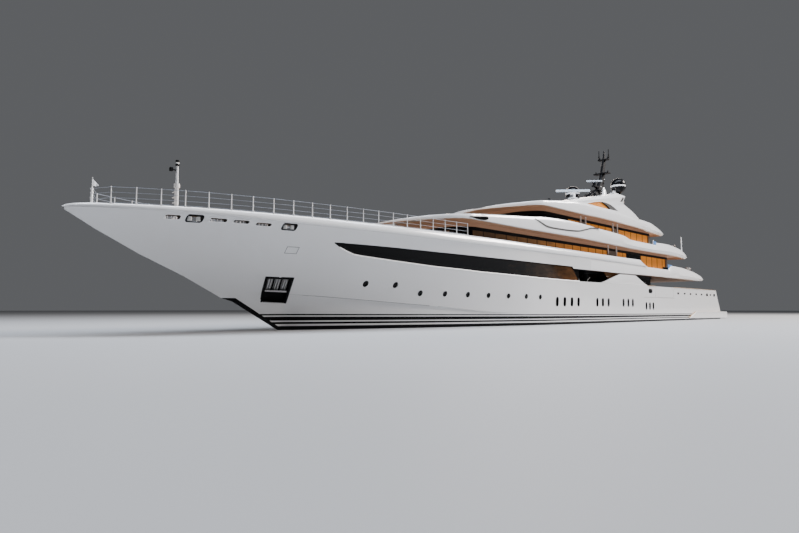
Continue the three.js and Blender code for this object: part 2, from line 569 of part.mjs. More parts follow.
const scannerShelf = (grow) => block(SCANNER_X.s - 0.3 - grow, 60.2 + grow, -0.22 - grow, 0.22 + grow,
  SCANNER_X.z - 0.6 - grow, SCANNER_X.z - 0.42 + grow);
add("radar_mast", join([
  mastLoft(0), yard(61.1, 20.72), block(60.1, 60.9, -1, 1, 18.72, 18.86),
  scannerShelf(0),
  upright(SCANNER_X.s, 0, SCANNER_X.z - 0.5, SCANNER_X.z - GAP, 0.2),
]), BLACK);
add("mast_fairing", sidePrism([[59.2, HARDTOP_TOP + GAP], [61, HARDTOP_TOP + GAP], [60.9, 16.6], [60.3, 17], [59.3, 16.7]],
  -0.62, 0.62).subtract(mastLoft(GAP)).subtract(scannerShelf(GAP)), WHITE);
const scanner = ({ s, z, half }, height) => {
  const turn = THREE.MathUtils.degToRad(SCANNER_TURN);
  const arm = block(MID - half, MID + half, -0.11, 0.11, z + 0.06, z + 0.06 + height);
  const hub = upright(MID, 0, z, z + 0.1, 0.12);
  return join([arm, hub]).rotate([0, 0, THREE.MathUtils.radToDeg(turn)]).translate([(MID - s) * M, 0, 0]);
};
add("radar_scanner_x", scanner(SCANNER_X, 0.18), WHITE);
add("radar_scanner_s", scanner(SCANNER_S, 0.26), WHITE);
add("radar_pedestal_s", join([
  upright(SCANNER_S.s, 0, 14.5, SCANNER_S.z - GAP, 0.26),
  block(SCANNER_S.s - 0.35, SCANNER_S.s + 0.35, -0.35, 0.35, 14.25, 14.6),
]).subtract(hardtopPrism(GAP)), WHITE);

// Satellite domes on the hardtop
const DOME = { s: 58.4, y: 3.05, radius: 0.86, centre: 16.45, foot: 0.3 };
function dome() {
  const { radius, centre, foot } = DOME;
  const profile = [[0, HARDTOP_TOP + GAP], [foot, HARDTOP_TOP + GAP], [foot, centre - 0.75 * radius],
    [0.8 * radius, centre - 0.7 * radius], [radius, centre - 0.3 * radius]];
  for (let i = 0; i <= 5; i++) {
    const turn = (i / 5) * (Math.PI / 2);
    profile.push([i === 5 ? 0 : radius * Math.cos(turn), centre + radius * Math.sin(turn)]);
  }
  const lathe = new THREE.LatheGeometry(profile.map(([r, z]) => new THREE.Vector2(r * M, z * M)), 16);
  lathe.rotateX(Math.PI / 2);
  lathe.translate((MID - DOME.s) * M, DOME.y * M, 0);
  return solid(lathe);
}
addPair("satellite_dome", dome(), BLACK);

// Bow rail, staffs and foredeck gear
const RAIL = { first: 2.0, last: 26.7, step: 1.235, height: 0.9, inset: 0.16, post: 0.032, wire: 0.016 };
const railFoot = (s) => at(s, sheerHalf(s) - RAIL.inset, lookup(CAP_TOP, s) + GAP);
function bowRail() {
  const posts = [];
  for (let i = 0; i <= 20; i++) posts.push(RAIL.first + i * RAIL.step);
  const lift = (p, h) => new THREE.Vector3(p.x, p.y, p.z + h * M);
  const side = posts.map((s) => bar(railFoot(s), lift(railFoot(s), RAIL.height), RAIL.post, RAIL.post, 6));
  for (const h of [RAIL.height - 0.02, 0.45])
    for (let i = 0; i < 20; i++)
      side.push(bar(lift(railFoot(posts[i]), h), lift(railFoot(posts[i + 1]), h), RAIL.wire, RAIL.wire, 4));
  const port = join(side);
  const first = railFoot(RAIL.first);
  const across = [RAIL.height - 0.02, 0.45].map((h) => {
    const p = lift(first, h);
    return bar(p, new THREE.Vector3(p.x, -p.y, p.z), RAIL.wire, RAIL.wire, 4);
  });
  return join([port, mirrored(port), ...across]);
}
add("bow_rail", bowRail(), STEEL);
const CAP_BOW = lookup(CAP_TOP, 1.4) + GAP;
add("jackstaff", join([upright(1.4, 0, CAP_BOW, 8.05, 0.07, 0.05), upright(1.4, 0, 8, 8.62, 0.02)]), WHITE);
add("pennant", block(1.424, 1.714, -0.006, 0.006, 8.1, 8.52), CLOTH);
add("foremast", join([
  upright(6.0, 0, UPPER_FLOOR + GAP, 8.9, 0.13, 0.1), upright(6.0, 0, 8.9, 10.1, 0.1, 0.07), upright(6.0, 0, 10.05, 10.4, 0.11),
  block(5.6, 6.0, -0.05, 0.05, 9.75, 9.85), upright(6.0, 0, 8.75, 8.95, 0.17),
]), WHITE);
const windlass = join([
  block(8.4, 9.7, 0.9, 1.6, UPPER_FLOOR + GAP, UPPER_FLOOR + 0.35),
  bar(at(9.0, 0.75, UPPER_FLOOR + 0.5), at(9.0, 1.75, UPPER_FLOOR + 0.5), 0.3, 0.3, 12),
]);
addPair("windlass", windlass, STEEL);
add("ensign_staff", bar(at(76.58, 0, UPPER_FLOOR + 0.02), at(77.7, 0, 8.4), 0.04, 0.025), WHITE);

// Swim platform wrapped round the stern
const PLATFORM = [ // station, half-breadth, lower edge, top edge
  [71, 6.36, 0.24, 0.3], [73.4, 6.38, 0.2, 1.09], [84, 6.38, 0.16, 1.07], [86.3, 6.3, 0.14, 1.06], [87.2, 6.0, 0.2, 1.05],
  [87.5, 5.6, 0.3, 1.04],
];
const platform = loft(PLATFORM.map(([s, half, low, top]) => [at(s, -half, low), at(s, half, low), at(s, half, top), at(s, -half, top)]));
const hullClear = join([hullSkin(-GAP), block(66, HULL_END + GAP, -6, 6, -1, 3)]);
add("swim_platform", platform.subtract(hullClear), WHITE);

// Folding bulwark doors
addPair("bulwark_door", block(GATE.from + DOOR_GAP, GATE.to - DOOR_GAP, GATE.inner + DOOR_GAP, 8, GATE.low + GAP, MAIN_BULWARK)
  .intersect(hullBlank), WHITE);

// Beach club door on the raked transom
const CLUB_DOOR = { half: CLUB.half - DOOR_GAP, low: CLUB.floor + DOOR_GAP, high: CLUB.head - GAP };
add("beach_club_door", sidePrism([
  [transomStation(CLUB_DOOR.low), CLUB_DOOR.low], [transomStation(CLUB_DOOR.low) - DOOR_THICK, CLUB_DOOR.low],
  [transomStation(CLUB_DOOR.high) - DOOR_THICK, CLUB_DOOR.high], [transomStation(CLUB_DOOR.high), CLUB_DOOR.high],
], -CLUB_DOOR.half, CLUB_DOOR.half), WHITE);

// Shafts, propellers, rudders and stabiliser fins
const SHAFT = { y: 2.75, from: 68.2, fromZ: -2.46, prop: 77.4, z: -2.9, radius: 0.13 };
const shaftAt = (s) => at(s, SHAFT.y, SHAFT.fromZ + ((SHAFT.z - SHAFT.fromZ) * (s - SHAFT.from)) / (SHAFT.prop - SHAFT.from));
const bracketS = 76.3;
const bracketHub = shaftAt(bracketS);
const strut = (y, z) => bar(bracketHub, at(bracketS, y, z), 0.09, 0.09, 6);
addPair("shaft_bracket", join([
  bar(shaftAt(66), shaftAt(76.9), SHAFT.radius), bar(shaftAt(75.9), shaftAt(76.75), 0.24, 0.24, 10),
  strut(1.7, -0.9), strut(3.7, -0.7),
]).subtract(hullClear), STEEL);
const PROP = { radius: 1.3, hub: 0.22, blades: 5, s0: 76.906, s1: 77.75 };
function propeller() {
  const dir = new THREE.Vector3().subVectors(shaftAt(78), shaftAt(77)).normalize();
  const centre = shaftAt(SHAFT.prop);
  const hub = bar(shaftAt(PROP.s0), shaftAt(PROP.s1), PROP.hub, 0.14, 10);
  const blades = [];
  for (let i = 0; i < PROP.blades; i++) {
    const turn = (i / PROP.blades) * 2 * Math.PI;
    const rings = [0.1, 0.45, 0.85, 1.15, 1.3].map((r, k) => {
      const chord = [0.32, 0.75, 0.95, 0.78, 0.34][k] / 2;
      const pitch = Math.atan2(0.42, Math.max(0.18, r));
      const thick = 0.05 - 0.007 * k;
      return [[-1, -1], [1, -1], [1, 1], [-1, 1]].map(([u, w]) => {
        const across = u * chord * Math.cos(pitch) - w * thick * Math.sin(pitch);
        const along = u * chord * Math.sin(pitch) + w * thick * Math.cos(pitch);
        return new THREE.Vector3(along * M, across * M, r * M);
      });
    });
    blades.push(loft(rings).rotate([THREE.MathUtils.radToDeg(turn), 0, 0]));
  }
  const tilt = THREE.MathUtils.radToDeg(Math.atan2(dir.z, -dir.x));
  const set = join(blades).rotate([0, tilt, 0]).translate([centre.x, centre.y, centre.z]);
  return join([hub, set]);
}
addPair("propeller", propeller(), BRONZE);
const foil = (s, y, z, chord, thick, fore) => [
  at(s - fore * chord, y, z), at(s - 0.1 * chord, y + thick / 2, z), at(s + (0.9 - fore) * chord, y + 0.02, z),
  at(s + (0.9 - fore) * chord, y - 0.02, z), at(s - 0.1 * chord, y - thick / 2, z),
];
addPair("rudder", join([
  loft([foil(RUDDER.s, RUDDER.y, RUDDER.foot, 1.5, 0.2, 0.35), foil(RUDDER.s, RUDDER.y, RUDDER.top, 2.0, 0.34, 0.35)]),
  bar(at(RUDDER.s, RUDDER.y, RUDDER.top - 0.1), at(RUDDER.s, RUDDER.y, RUDDER.hub - GAP), 0.12),
]), ANTIFOUL);

// Stabiliser fins at the turn of the bilge
function stabiliserFin() {
  const section = (out, chord, thick) => {
    const centre = alongSpan(out);
    const across = new THREE.Vector3(0, Math.SQRT1_2, Math.SQRT1_2);
    return [[0.4, 0], [0.1, 0.5], [-0.6, 0.1], [-0.6, -0.1], [0.1, -0.5]].map(([u, w]) =>
      centre.clone().addScaledVector(across, w * thick * M).add(new THREE.Vector3(u * chord * M, 0, 0)));
  };
  const stub = bar(alongSpan(FIN_ROOT.hub + GAP), alongSpan(0.2), 0.14);
  return join([loft([section(0.12, 1.8, 0.3), section(1.35, 1.2, 0.18)]), stub]);
}
addPair("stabiliser_fin", stabiliserFin(), ANTIFOUL);

// Rails round the open after ends of the upper and bridge decks
const STERN_RAILS = {
  upper: { floor: UPPER_FLOOR, plan: [[72.2, 5.7], [73.8, 5.66], [75.2, 5.3], [76.1, 4.4], [76.4, 2.9], [76.5, 0.8]] },
  bridge: { floor: BRIDGE_FLOOR, plan: [[68.8, 5.55], [69.9, 5.3], [70.6, 4.8], [71.0, 3.8], [71.2, 2.4], [71.25, 0.8]] },
};
function sternRail({ floor, plan }) {
  const feet = plan.map(([s, y]) => at(s, y, floor));
  const lift = (p, h) => p.clone().add(new THREE.Vector3(0, 0, h * M));
  const posts = feet.map((p) => bar(lift(p, GAP), lift(p, 1.1), 0.035, 0.035, 6));
  const wires = [0.55, 1.08].flatMap((h) => feet.slice(1).map((p, i) => bar(lift(feet[i], h), lift(p, h), 0.025, 0.025, 4)));
  const port = join([...posts, ...wires]);
  const across = [0.55, 1.08].map((h) => {
    const p = lift(feet.at(-1), h);
    return bar(p, new THREE.Vector3(p.x, -p.y, p.z), 0.025, 0.025, 4);
  });
  return join([port, mirrored(port), ...across]);
}
add("upper_stern_rail", sternRail(STERN_RAILS.upper), STEEL);
add("bridge_stern_rail", sternRail(STERN_RAILS.bridge), STEEL);

export default yacht;
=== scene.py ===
import json
import math
import bmesh
import bpy
import numpy as np
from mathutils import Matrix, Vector


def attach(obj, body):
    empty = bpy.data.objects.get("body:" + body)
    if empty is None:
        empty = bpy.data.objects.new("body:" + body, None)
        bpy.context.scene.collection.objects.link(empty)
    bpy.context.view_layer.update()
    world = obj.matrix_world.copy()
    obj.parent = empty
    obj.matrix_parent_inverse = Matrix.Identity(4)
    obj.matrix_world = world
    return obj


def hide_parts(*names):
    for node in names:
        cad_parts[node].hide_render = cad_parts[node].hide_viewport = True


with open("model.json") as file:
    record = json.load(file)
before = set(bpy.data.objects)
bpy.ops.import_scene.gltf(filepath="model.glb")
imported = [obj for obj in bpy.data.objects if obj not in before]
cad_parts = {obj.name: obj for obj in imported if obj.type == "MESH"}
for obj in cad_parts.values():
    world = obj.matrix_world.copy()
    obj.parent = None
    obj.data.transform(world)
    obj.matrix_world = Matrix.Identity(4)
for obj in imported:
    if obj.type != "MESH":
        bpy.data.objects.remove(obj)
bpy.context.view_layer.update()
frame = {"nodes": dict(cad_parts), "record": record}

# Frame: sizes are full-size metres, a station is the distance aft of the bow tip, and the model is 1:10
SCALE = 0.1
MID = 43.75


def at(s, y, z):
    """A point of the scene from a station, half-breadth and height."""
    return ((MID - s) * SCALE, y * SCALE, z * SCALE)


def spread(first, last, count):
    """Even steps between two numbers, both included."""
    return [first + (last - first) * i / count for i in range(count + 1)]


def curve(table, column=1):
    """A smooth monotone curve through one column of a table, by the first column."""
    x = np.array([row[0] for row in table], float)
    y = np.array([row[column] for row in table], float)
    step, slope = np.diff(x), np.diff(y) / np.diff(x)
    tangent = np.zeros(len(x))
    tangent[0], tangent[-1] = slope[0], slope[-1]
    for i in range(1, len(x) - 1):
        if slope[i - 1] * slope[i] > 0:
            a, b = 2 * step[i] + step[i - 1], step[i] + 2 * step[i - 1]
            tangent[i] = (a + b) / (a / slope[i - 1] + b / slope[i])

    def value(s):
        s = np.clip(np.asarray(s, float), x[0], x[-1])
        i = np.clip(np.searchsorted(x, s, side="right") - 1, 0, len(x) - 2)
        h = step[i]
        t = (s - x[i]) / h
        out = (1 + 2 * t) * (1 - t) ** 2 * y[i] + t * (1 - t) ** 2 * h * tangent[i]
        out = out + t * t * (3 - 2 * t) * y[i + 1] + t * t * (t - 1) * h * tangent[i + 1]
        return out if out.ndim else float(out)

    return value


def line(table, column=1):
    """Straight steps through one column of a table, by the first column."""
    x = [row[0] for row in table]
    y = [row[column] for row in table]
    return lambda s: np.interp(s, x, y)


# Deck heights above the waterline
MAIN_FLOOR, MAIN_BULWARK = 3.0, 4.12
UPPER_FLOOR, UPPER_SOFFIT = 5.95, 5.42
BRIDGE_FLOOR, BRIDGE_SOFFIT = 8.78, 8.5
SUN_FLOOR, SUN_SOFFIT = 11.55, 11.22

# Hull form: the stem, keel and sheer lines by station, and the section between them
STEM_FOOT = 13.11
STEM = line([(0, 6.76), (1.61, 5.81), (3.98, 4.57), (6.59, 3.4), (8.99, 2.13), (9.75, 1.9), (STEM_FOOT, 0),
             (14.6, -1.1)])
FAIR_STEM = curve([(0, 6.76), (1.61, 5.81), (3.98, 4.57), (6.59, 3.32), (9.86, 1.68), (STEM_FOOT, 0), (16.2, -1.6),
                   (20, -3.6)])
KEEL = curve([(STEM_FOOT, 0), (14.6, -1.1), (16.2, -2.2), (18.5, -3.3), (22, -3.95), (28, -4.1), (60, -4.1),
              (66, -3.2), (70, -2.3), (74, -1.6), (78, -1.2), (84, -0.9)])
FORM = [  # station, waterline half-breadth, flare exponent, bilge fullness
    (0, 0, 1.05, 1.6), (5, 0, 1.2, 1.6), (STEM_FOOT, 0, 1.4, 1.6), (14.6, 0.5, 1.42, 1.7), (16.2, 1.1, 1.45, 1.8),
    (20, 2.3, 1.5, 2.0), (25, 3.6, 1.55, 2.2), (30, 4.6, 1.5, 2.5), (36, 5.5, 1.4, 2.8), (44, 6.0, 1.3, 3.1),
    (54, 6.16, 1.2, 3.2), (66, 6.16, 1.2, 2.9), (78, 6.1, 1.2, 2.6), (84, 6.05, 1.2, 2.6)]
WATERLINE, FLARE, BILGE = (curve(FORM, column) for column in (1, 2, 3))
CAP_LOW = curve([(0, 6.83), (6.59, 6.76), (11.4, 6.64), (18.5, 6.59), (28, 6.5), (47, 6.47), (58.2, 6.33)])
CAP_TOP = line([(0, 6.86), (0.12, 6.94), (0.3, 7.0), (0.6, 7.04), (1.2, 7.07), (6, 7.12), (30, 7.14), (45, 7.06),
                (56.7, 7.05), (58.2, 6.41)])
KNUCKLE = curve([(12.9, 2.46), (16.8, 2.21), (20.85, 1.92), (26.3, 1.55), (29.4, 1.26), (33, 1.1)])
KNUCKLE_STEP = line([(12.6, 0), (13.2, 0.14), (24, 0.15), (30, 0.08), (33, 0)])
SHEER_REF, BEAM_HALF, HULL_END = 6.8, 6.27, 84.0
SHEER_RUN, SHEER_POWER, SHEER_ROOT = 90, 8.73, 0.86
STEM_EASE, STEM_BAR = 0.3, 0.03
STRIPES = [0, 0.27, 0.405, 0.55, 0.65, 0.91, 1.0, 1.1]
STRIPE_RISE = line([(14, 1.0), (38.6, 0.87), (55.6, 0.82), (84, 0.74)])


def keel_at(s):
    return float(STEM(s)) if s < STEM_FOOT else KEEL(s)


def sheer_half(s):
    return BEAM_HALF * (1 - (1 - np.asarray(s) / SHEER_RUN) ** SHEER_POWER) ** SHEER_ROOT


def hull_half(s, z):
    """Half-breadth of the hull at a station and height."""
    wide = WATERLINE(s)
    if z < 0:
        return wide * max(0.0, 1 - min(1, z / keel_at(s)) ** BILGE(s)) ** (1 / BILGE(s))
    foot = STEM_EASE * math.log1p(math.exp(FAIR_STEM(s) / STEM_EASE))
    rise = max(0, (z - foot) / (SHEER_REF - foot))
    half = wide + (sheer_half(s) - wide) * rise ** FLARE(s)
    knuckle = KNUCKLE(s)
    if z < knuckle - 0.01:
        half -= KNUCKLE_STEP(s) * max(0, z / knuckle) ** 2
    return max(half, STEM_BAR)


# Meshes
def turns(count):
    """Equal angles round a circle."""
    return [2 * math.pi * k / count for k in range(count)]


def swell(value, power):
    """A power of a sine or cosine that keeps its sign."""
    return math.copysign(abs(value) ** power, value)


def two_sided(s, port):
    """A ring of (half-breadth, height) points, up the port side and down the starboard side."""
    return [at(s, y, z) for y, z in port] + [at(s, -y, z) for y, z in port[::-1]]


def sides(name):
    return [name + "_port", name + "_stbd"]


class Shape:
    """Points and faces gathered from several forms, each with a material number."""

    def __init__(self):
        self.points, self.faces, self.marks = [], [], []

    def add(self, points, faces, mark=0):
        first = len(self.points)
        self.points += [tuple(p) for p in points]
        self.faces += [tuple(first + i for i in f) for f in faces]
        self.marks += [mark] * len(faces) if isinstance(mark, int) else list(mark)
        return self

    def loft(self, rings, marks=0, caps=True):
        """Joins closed rings in turn; marks is one number, or one for each place round the ring."""
        count = len(rings[0])
        faces, out = [], []
        for r in range(len(rings) - 1):
            for i in range(count):
                a, b = r * count + i, r * count + (i + 1) % count
                faces.append((a, b, b + count, a + count))
                out.append(marks if isinstance(marks, int) else marks[i])
        if caps:
            last = (len(rings) - 1) * count
            faces += [tuple(range(count))[::-1], tuple(last + i for i in range(count))]
            out += [out[0], out[0]]
        return self.add([p for ring in rings for p in ring], faces, out)

    def tube(self, path, radius, count=8, mark=0):
        """A round bar along points given in metres of the scene."""
        path = [Vector(p) for p in path]
        radii = radius if isinstance(radius, (list, tuple)) else [radius] * len(path)
        rings, side = [], None
        for i, p in enumerate(path):
            ahead = (path[min(i + 1, len(path) - 1)] - path[max(i - 1, 0)]).normalized()
            if side is None:
                side = ahead.orthogonal().normalized()
            side = (side - ahead * side.dot(ahead)).normalized()
            other = ahead.cross(side)
            rings.append([p + (side * math.cos(a) + other * math.sin(a)) * radii[i] for a in turns(count)])
        return self.loft(rings, mark)

    def post(self, s, y, low, high, radius, count=8, mark=0):
        """An upright round bar at a station and half-breadth."""
        return self.tube([at(s, y, low), at(s, y, high)], radius, count, mark)

    def lathe(self, centre, profile, count=24, mark=0):
        """Turns (radius, height) pairs about an upright axis through a full-size point."""
        cx, cy, cz = at(*centre)
        first = len(self.faces)
        self.loft([[(cx + r * SCALE * math.cos(a), cy + r * SCALE * math.sin(a), cz + h * SCALE)
                    for a in turns(count)] for r, h in profile])
        for k in range(first, len(self.faces)):
            band = min((k - first) // count, len(profile) - 2)
            self.marks[k] = mark if isinstance(mark, int) else mark[band]
        return self

    def block(self, s0, s1, y0, y1, z0, z1, mark=0, bevel=0.0):
        rings = []
        for s, shrink in ((s0, bevel), (s0 + bevel, 0), (s1 - bevel, 0), (s1, bevel)) if bevel else ((s0, 0), (s1, 0)):
            rings.append(rounded(s, y0 + shrink, y1 - shrink, z0 + shrink, z1 - shrink, bevel))
        return self.loft(rings, mark)

    def prism(self, outline, y0, y1, mark=0):
        """A side-view outline of (station, height) between two half-breadths."""
        return self.loft([[at(s, y, z) for s, z in outline] for y in (y0, y1)], mark)

    def take(self, other):
        return self.add(other.points, other.faces, other.marks)

    def mirror(self):
        """Adds a copy across the centreline."""
        count, faces = len(self.points), list(self.faces)
        self.points += [(x, -y, z) for x, y, z in self.points]
        self.faces += [tuple(count + i for i in f[::-1]) for f in faces]
        self.marks += list(self.marks)
        return self


def rounded(s, y0, y1, z0, z1, bevel):
    if not bevel:
        return [at(s, y0, z0), at(s, y1, z0), at(s, y1, z1), at(s, y0, z1)]
    b = bevel
    return [at(s, y0 + b, z0), at(s, y1 - b, z0), at(s, y1, z0 + b), at(s, y1, z1 - b),
            at(s, y1 - b, z1), at(s, y0 + b, z1), at(s, y0, z1 - b), at(s, y0, z0 + b)]


def mesh_of(name, shape):
    mesh = bpy.data.meshes.new(name)
    mesh.from_pydata(shape.points, [], shape.faces)
    mesh.polygons.foreach_set("material_index", shape.marks)
    work = bmesh.new()
    work.from_mesh(mesh)
    bmesh.ops.recalc_face_normals(work, faces=work.faces)
    work.to_mesh(mesh)
    work.free()
    return mesh


def piece(name, shape, materials, stands_for=(), body="yacht", crease=35):
    mesh = shape if isinstance(shape, bpy.types.Mesh) else mesh_of(name, shape)
    mesh.name = name
    for material in materials if isinstance(materials, (list, tuple)) else [materials]:
        mesh.materials.append(material)
    if crease:
        mesh.shade_smooth()
        mesh.set_sharp_from_angle(angle=math.radians(crease))
    thing = bpy.data.objects.new(name, mesh)
    bpy.context.collection.objects.link(thing)
    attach(thing, body)
    if stands_for:
        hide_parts(*stands_for)
    return thing


def cut(mesh, cutters):
    """Cuts closed shapes out of a closed mesh, one after another."""
    base = bpy.data.objects.new("base", mesh)
    bpy.context.collection.objects.link(base)
    tools = []
    for k, shape in enumerate(cutters):
        tool = bpy.data.objects.new("tool", mesh_of("tool%d" % k, shape))
        bpy.context.collection.objects.link(tool)
        tools.append(tool)
        mod = base.modifiers.new("cut%d" % k, "BOOLEAN")
        mod.operation, mod.solver, mod.object = "DIFFERENCE", "MANIFOLD", tool
    graph = bpy.context.evaluated_depsgraph_get()
    result = bpy.data.meshes.new_from_object(base.evaluated_get(graph))
    for thing in [base, *tools]:
        bpy.data.objects.remove(thing)
    return result


# Materials: each has its own colour drift, gloss drift and fine relief
COAT_ROUGHNESS, RELIEF_DEPTH = 0.04, 0.001
BOARD_WIDTH, SEAM_SHARE, TEAK_COLOR, CAULK_COLOR = 0.0115, 0.1, (0.42, 0.27, 0.15), (0.03, 0.028, 0.025)
# Stations where the glass's painted sunset reflection and glow begin and are full
PAINTED_SUNSET_FROM, PAINTED_SUNSET_TO = 24, 70


def wire(tree, node, inputs):
    """Sets a node's sockets to values, or joins them to other nodes' sockets."""
    for socket, value in inputs.items():
        if isinstance(value, bpy.types.NodeSocket):
            tree.links.new(value, node.inputs[socket])
        else:
            node.inputs[socket].default_value = value
    return node


def add_node(tree, kind, inputs, **settings):
    node = tree.nodes.new(kind)
    for name, value in settings.items():
        setattr(node, name, value)
    return wire(tree, node, inputs)


def calculate(tree, operation, *inputs):
    return add_node(tree, "ShaderNodeMath", dict(enumerate(inputs)), operation=operation).outputs[0]


def mix_colors(tree, factor, a, b):
    return add_node(tree, "ShaderNodeMix", {"Factor": factor, "A": a, "B": b}, data_type="RGBA").outputs["Result"]


def shader(name):
    """A new material, its node tree, its surface and its object coordinates."""
    material = bpy.data.materials.new(name)
    material.use_nodes = True
    tree = material.node_tree
    tree.nodes.clear()
    surface = add_node(tree, "ShaderNodeBsdfPrincipled", {})
    add_node(tree, "ShaderNodeOutputMaterial", {"Surface": surface.outputs[0]})
    return material, tree, surface, add_node(tree, "ShaderNodeTexCoord", {}).outputs["Object"]


def noise(tree, vector, scale, detail=3.0, stretch=None):
    if stretch:
        vector = add_node(tree, "ShaderNodeMapping", {"Scale": stretch, "Vector": vector}).outputs[0]
    return add_node(tree, "ShaderNodeTexNoise", {"Scale": scale, "Detail": detail, "Vector": vector}).outputs["Fac"]


def ramp(tree, factor, stops):
    node = add_node(tree, "ShaderNodeValToRGB", {0: factor})
    elements = node.color_ramp.elements
    while len(elements) < len(stops):
        elements.new(0.5)
    for element, (position, color) in zip(elements, stops):
        element.position, element.color = position, (*color, 1)
    return node.outputs[0]


def gloss_drift(tree, factor, rough, drift=0.03):
    return add_node(tree, "ShaderNodeMapRange", {
        "To Min": max(0.02, rough - drift), "To Max": min(1, rough + drift), "Value": factor}).outputs[0]


def relief(tree, factor, strength):
    return add_node(tree, "ShaderNodeBump", {
        "Strength": strength, "Distance": RELIEF_DEPTH, "Height": factor}).outputs[0]


def finish(name, color, rough, metal=0.0, coat=0.0, drift=0.03, grain=3.0, bump=0.0, fine=120.0, stretch=None,
           specular=0.5, painted_glow=0.0):
    """Paint, metal, cloth or plain glass; a painted glow, where given, is emission that paints light in."""
    material, tree, surface, place = shader(name)
    soft = noise(tree, place, grain, stretch=stretch)
    low, high = ([min(1, max(0, c * (1 + side * drift))) for c in color] for side in (-1, 1))
    wire(tree, surface, {
        "Base Color": ramp(tree, soft, [(0.3, low), (0.7, high)]), "Roughness": gloss_drift(tree, soft, rough),
        "Metallic": metal, "Coat Weight": coat, "Coat Roughness": COAT_ROUGHNESS, "Specular IOR Level": specular,
        "Emission Color": (*color, 1), "Emission Strength": painted_glow})
    if bump:
        wire(tree, surface, {"Normal": relief(tree, noise(tree, place, fine, 2.0, stretch), bump)})
    return material


def planks(name):
    """Teak boards along the ship with dark caulking between them."""
    material, tree, surface, place = shader(name)
    across = add_node(tree, "ShaderNodeSeparateXYZ", {0: place}).outputs["Y"]
    board = calculate(tree, "DIVIDE", across, BOARD_WIDTH)
    seam = calculate(tree, "LESS_THAN", calculate(tree, "FRACT", board), SEAM_SHARE)
    shade = add_node(tree, "ShaderNodeTexWhiteNoise", {}, noise_dimensions="1D")
    wire(tree, shade, {"W": calculate(tree, "FLOOR", board)})
    streak = noise(tree, place, 40.0, 4.0, (0.15, 3.0, 1.0))
    blend = calculate(tree, "MULTIPLY_ADD", shade.outputs["Value"], 0.5, streak)
    dark, light = ((*[c * tone for c in TEAK_COLOR], 1) for tone in (0.82, 1.16))
    wood = mix_colors(tree, blend, dark, light)
    wire(tree, surface, {
        "Base Color": mix_colors(tree, seam, wood, (*CAULK_COLOR, 1)),
        "Roughness": gloss_drift(tree, streak, 0.62, 0.1), "Normal": relief(tree, streak, 0.15)})
    return material


def painted_sunset_glass(name, stops, rough, painted_glow, specular):
    """Tinted glass with a painted sunset reflection and glow, which grow along the ship."""
    material, tree, surface, place = shader(name)
    along = add_node(tree, "ShaderNodeMapRange", {
        "From Min": (MID - PAINTED_SUNSET_FROM) * SCALE, "From Max": (MID - PAINTED_SUNSET_TO) * SCALE,
        "Value": add_node(tree, "ShaderNodeSeparateXYZ", {0: place}).outputs["X"]}).outputs[0]
    wobble = noise(tree, place, 6.0, 4.0, (2.0, 1.0, 5.0))
    shift = calculate(tree, "MULTIPLY_ADD", wobble, 0.22, -0.11)
    painted_sunset = ramp(tree, calculate(tree, "ADD", along, shift), stops)
    wire(tree, surface, {
        "Base Color": painted_sunset, "Emission Color": painted_sunset, "Roughness": gloss_drift(tree, wobble, rough, 0.02),
        "Specular IOR Level": specular, "Emission Strength": painted_glow})
    return material


WHITE = finish("gloss_white", (0.86, 0.855, 0.85), 0.16, coat=0.5, drift=0.012, grain=0.8, bump=0.012, fine=2.2)
HULL = finish("hull_white", (0.78, 0.775, 0.77), 0.17, coat=0.6, drift=0.015, grain=0.6, bump=0.02, fine=1.6)
INSIDE = finish("bulwark_white", (0.8, 0.79, 0.78), 0.35, drift=0.02, grain=4, bump=0.02)
BLACK = finish("stripe_black", (0.004, 0.004, 0.005), 0.22, drift=0.2, grain=2, specular=0.12)
SATIN_BLACK = finish("satin_black", (0.005, 0.005, 0.006), 0.5, drift=0.25, grain=8, bump=0.05, specular=0.08)
ANTIFOUL = finish("antifouling", (0.035, 0.04, 0.05), 0.7, drift=0.15, grain=7, bump=0.25, fine=300)
TAUPE = finish("taupe_metallic", (0.22, 0.165, 0.125), 0.34, metal=0.35, coat=0.3, drift=0.06, grain=5)
# Soffit taupe with a painted glow: emission that stands in for warm light on the undersides
SOFFIT_PAINTED_GLOW = finish("soffit_taupe_painted_glow", (0.3, 0.17, 0.105), 0.45, metal=0.1, drift=0.08, grain=3, specular=0.25, painted_glow=0.3)
STEEL = finish("polished_steel", (0.72, 0.73, 0.75), 0.16, metal=1.0, drift=0.03, grain=20)
BRUSHED = finish("brushed_steel", (0.55, 0.55, 0.56), 0.34, metal=1.0, drift=0.05, grain=60, stretch=(1, 12, 12))
BRONZE = finish("cast_bronze", (0.46, 0.27, 0.1), 0.3, metal=1.0, drift=0.12, grain=30, bump=0.08)
# The soffit taupe darkened, with a weaker painted glow: painted shade for the underside of the upper deck
SOFFIT_PAINTED_SHADE = finish("soffit_painted_shade", (0.12, 0.066, 0.038), 0.5, drift=0.08, grain=3, specular=0.2, painted_glow=0.12)
DARK_GLASS = finish("dark_glass", (0.004, 0.004, 0.004), 0.07, drift=0.3, grain=3, specular=0.16)
CLOTH = finish("pennant_cloth", (0.82, 0.82, 0.84), 0.85, drift=0.05, grain=60, bump=0.5, fine=900)
LAMP = finish("lamp_glass", (0.85, 0.84, 0.8), 0.12, coat=0.5, drift=0.05, grain=50)
BLUE_GLASS = finish("blue_glass", (0.12, 0.28, 0.62), 0.08, coat=0.5, drift=0.2, grain=25)
TEAK = planks("teak_deck")
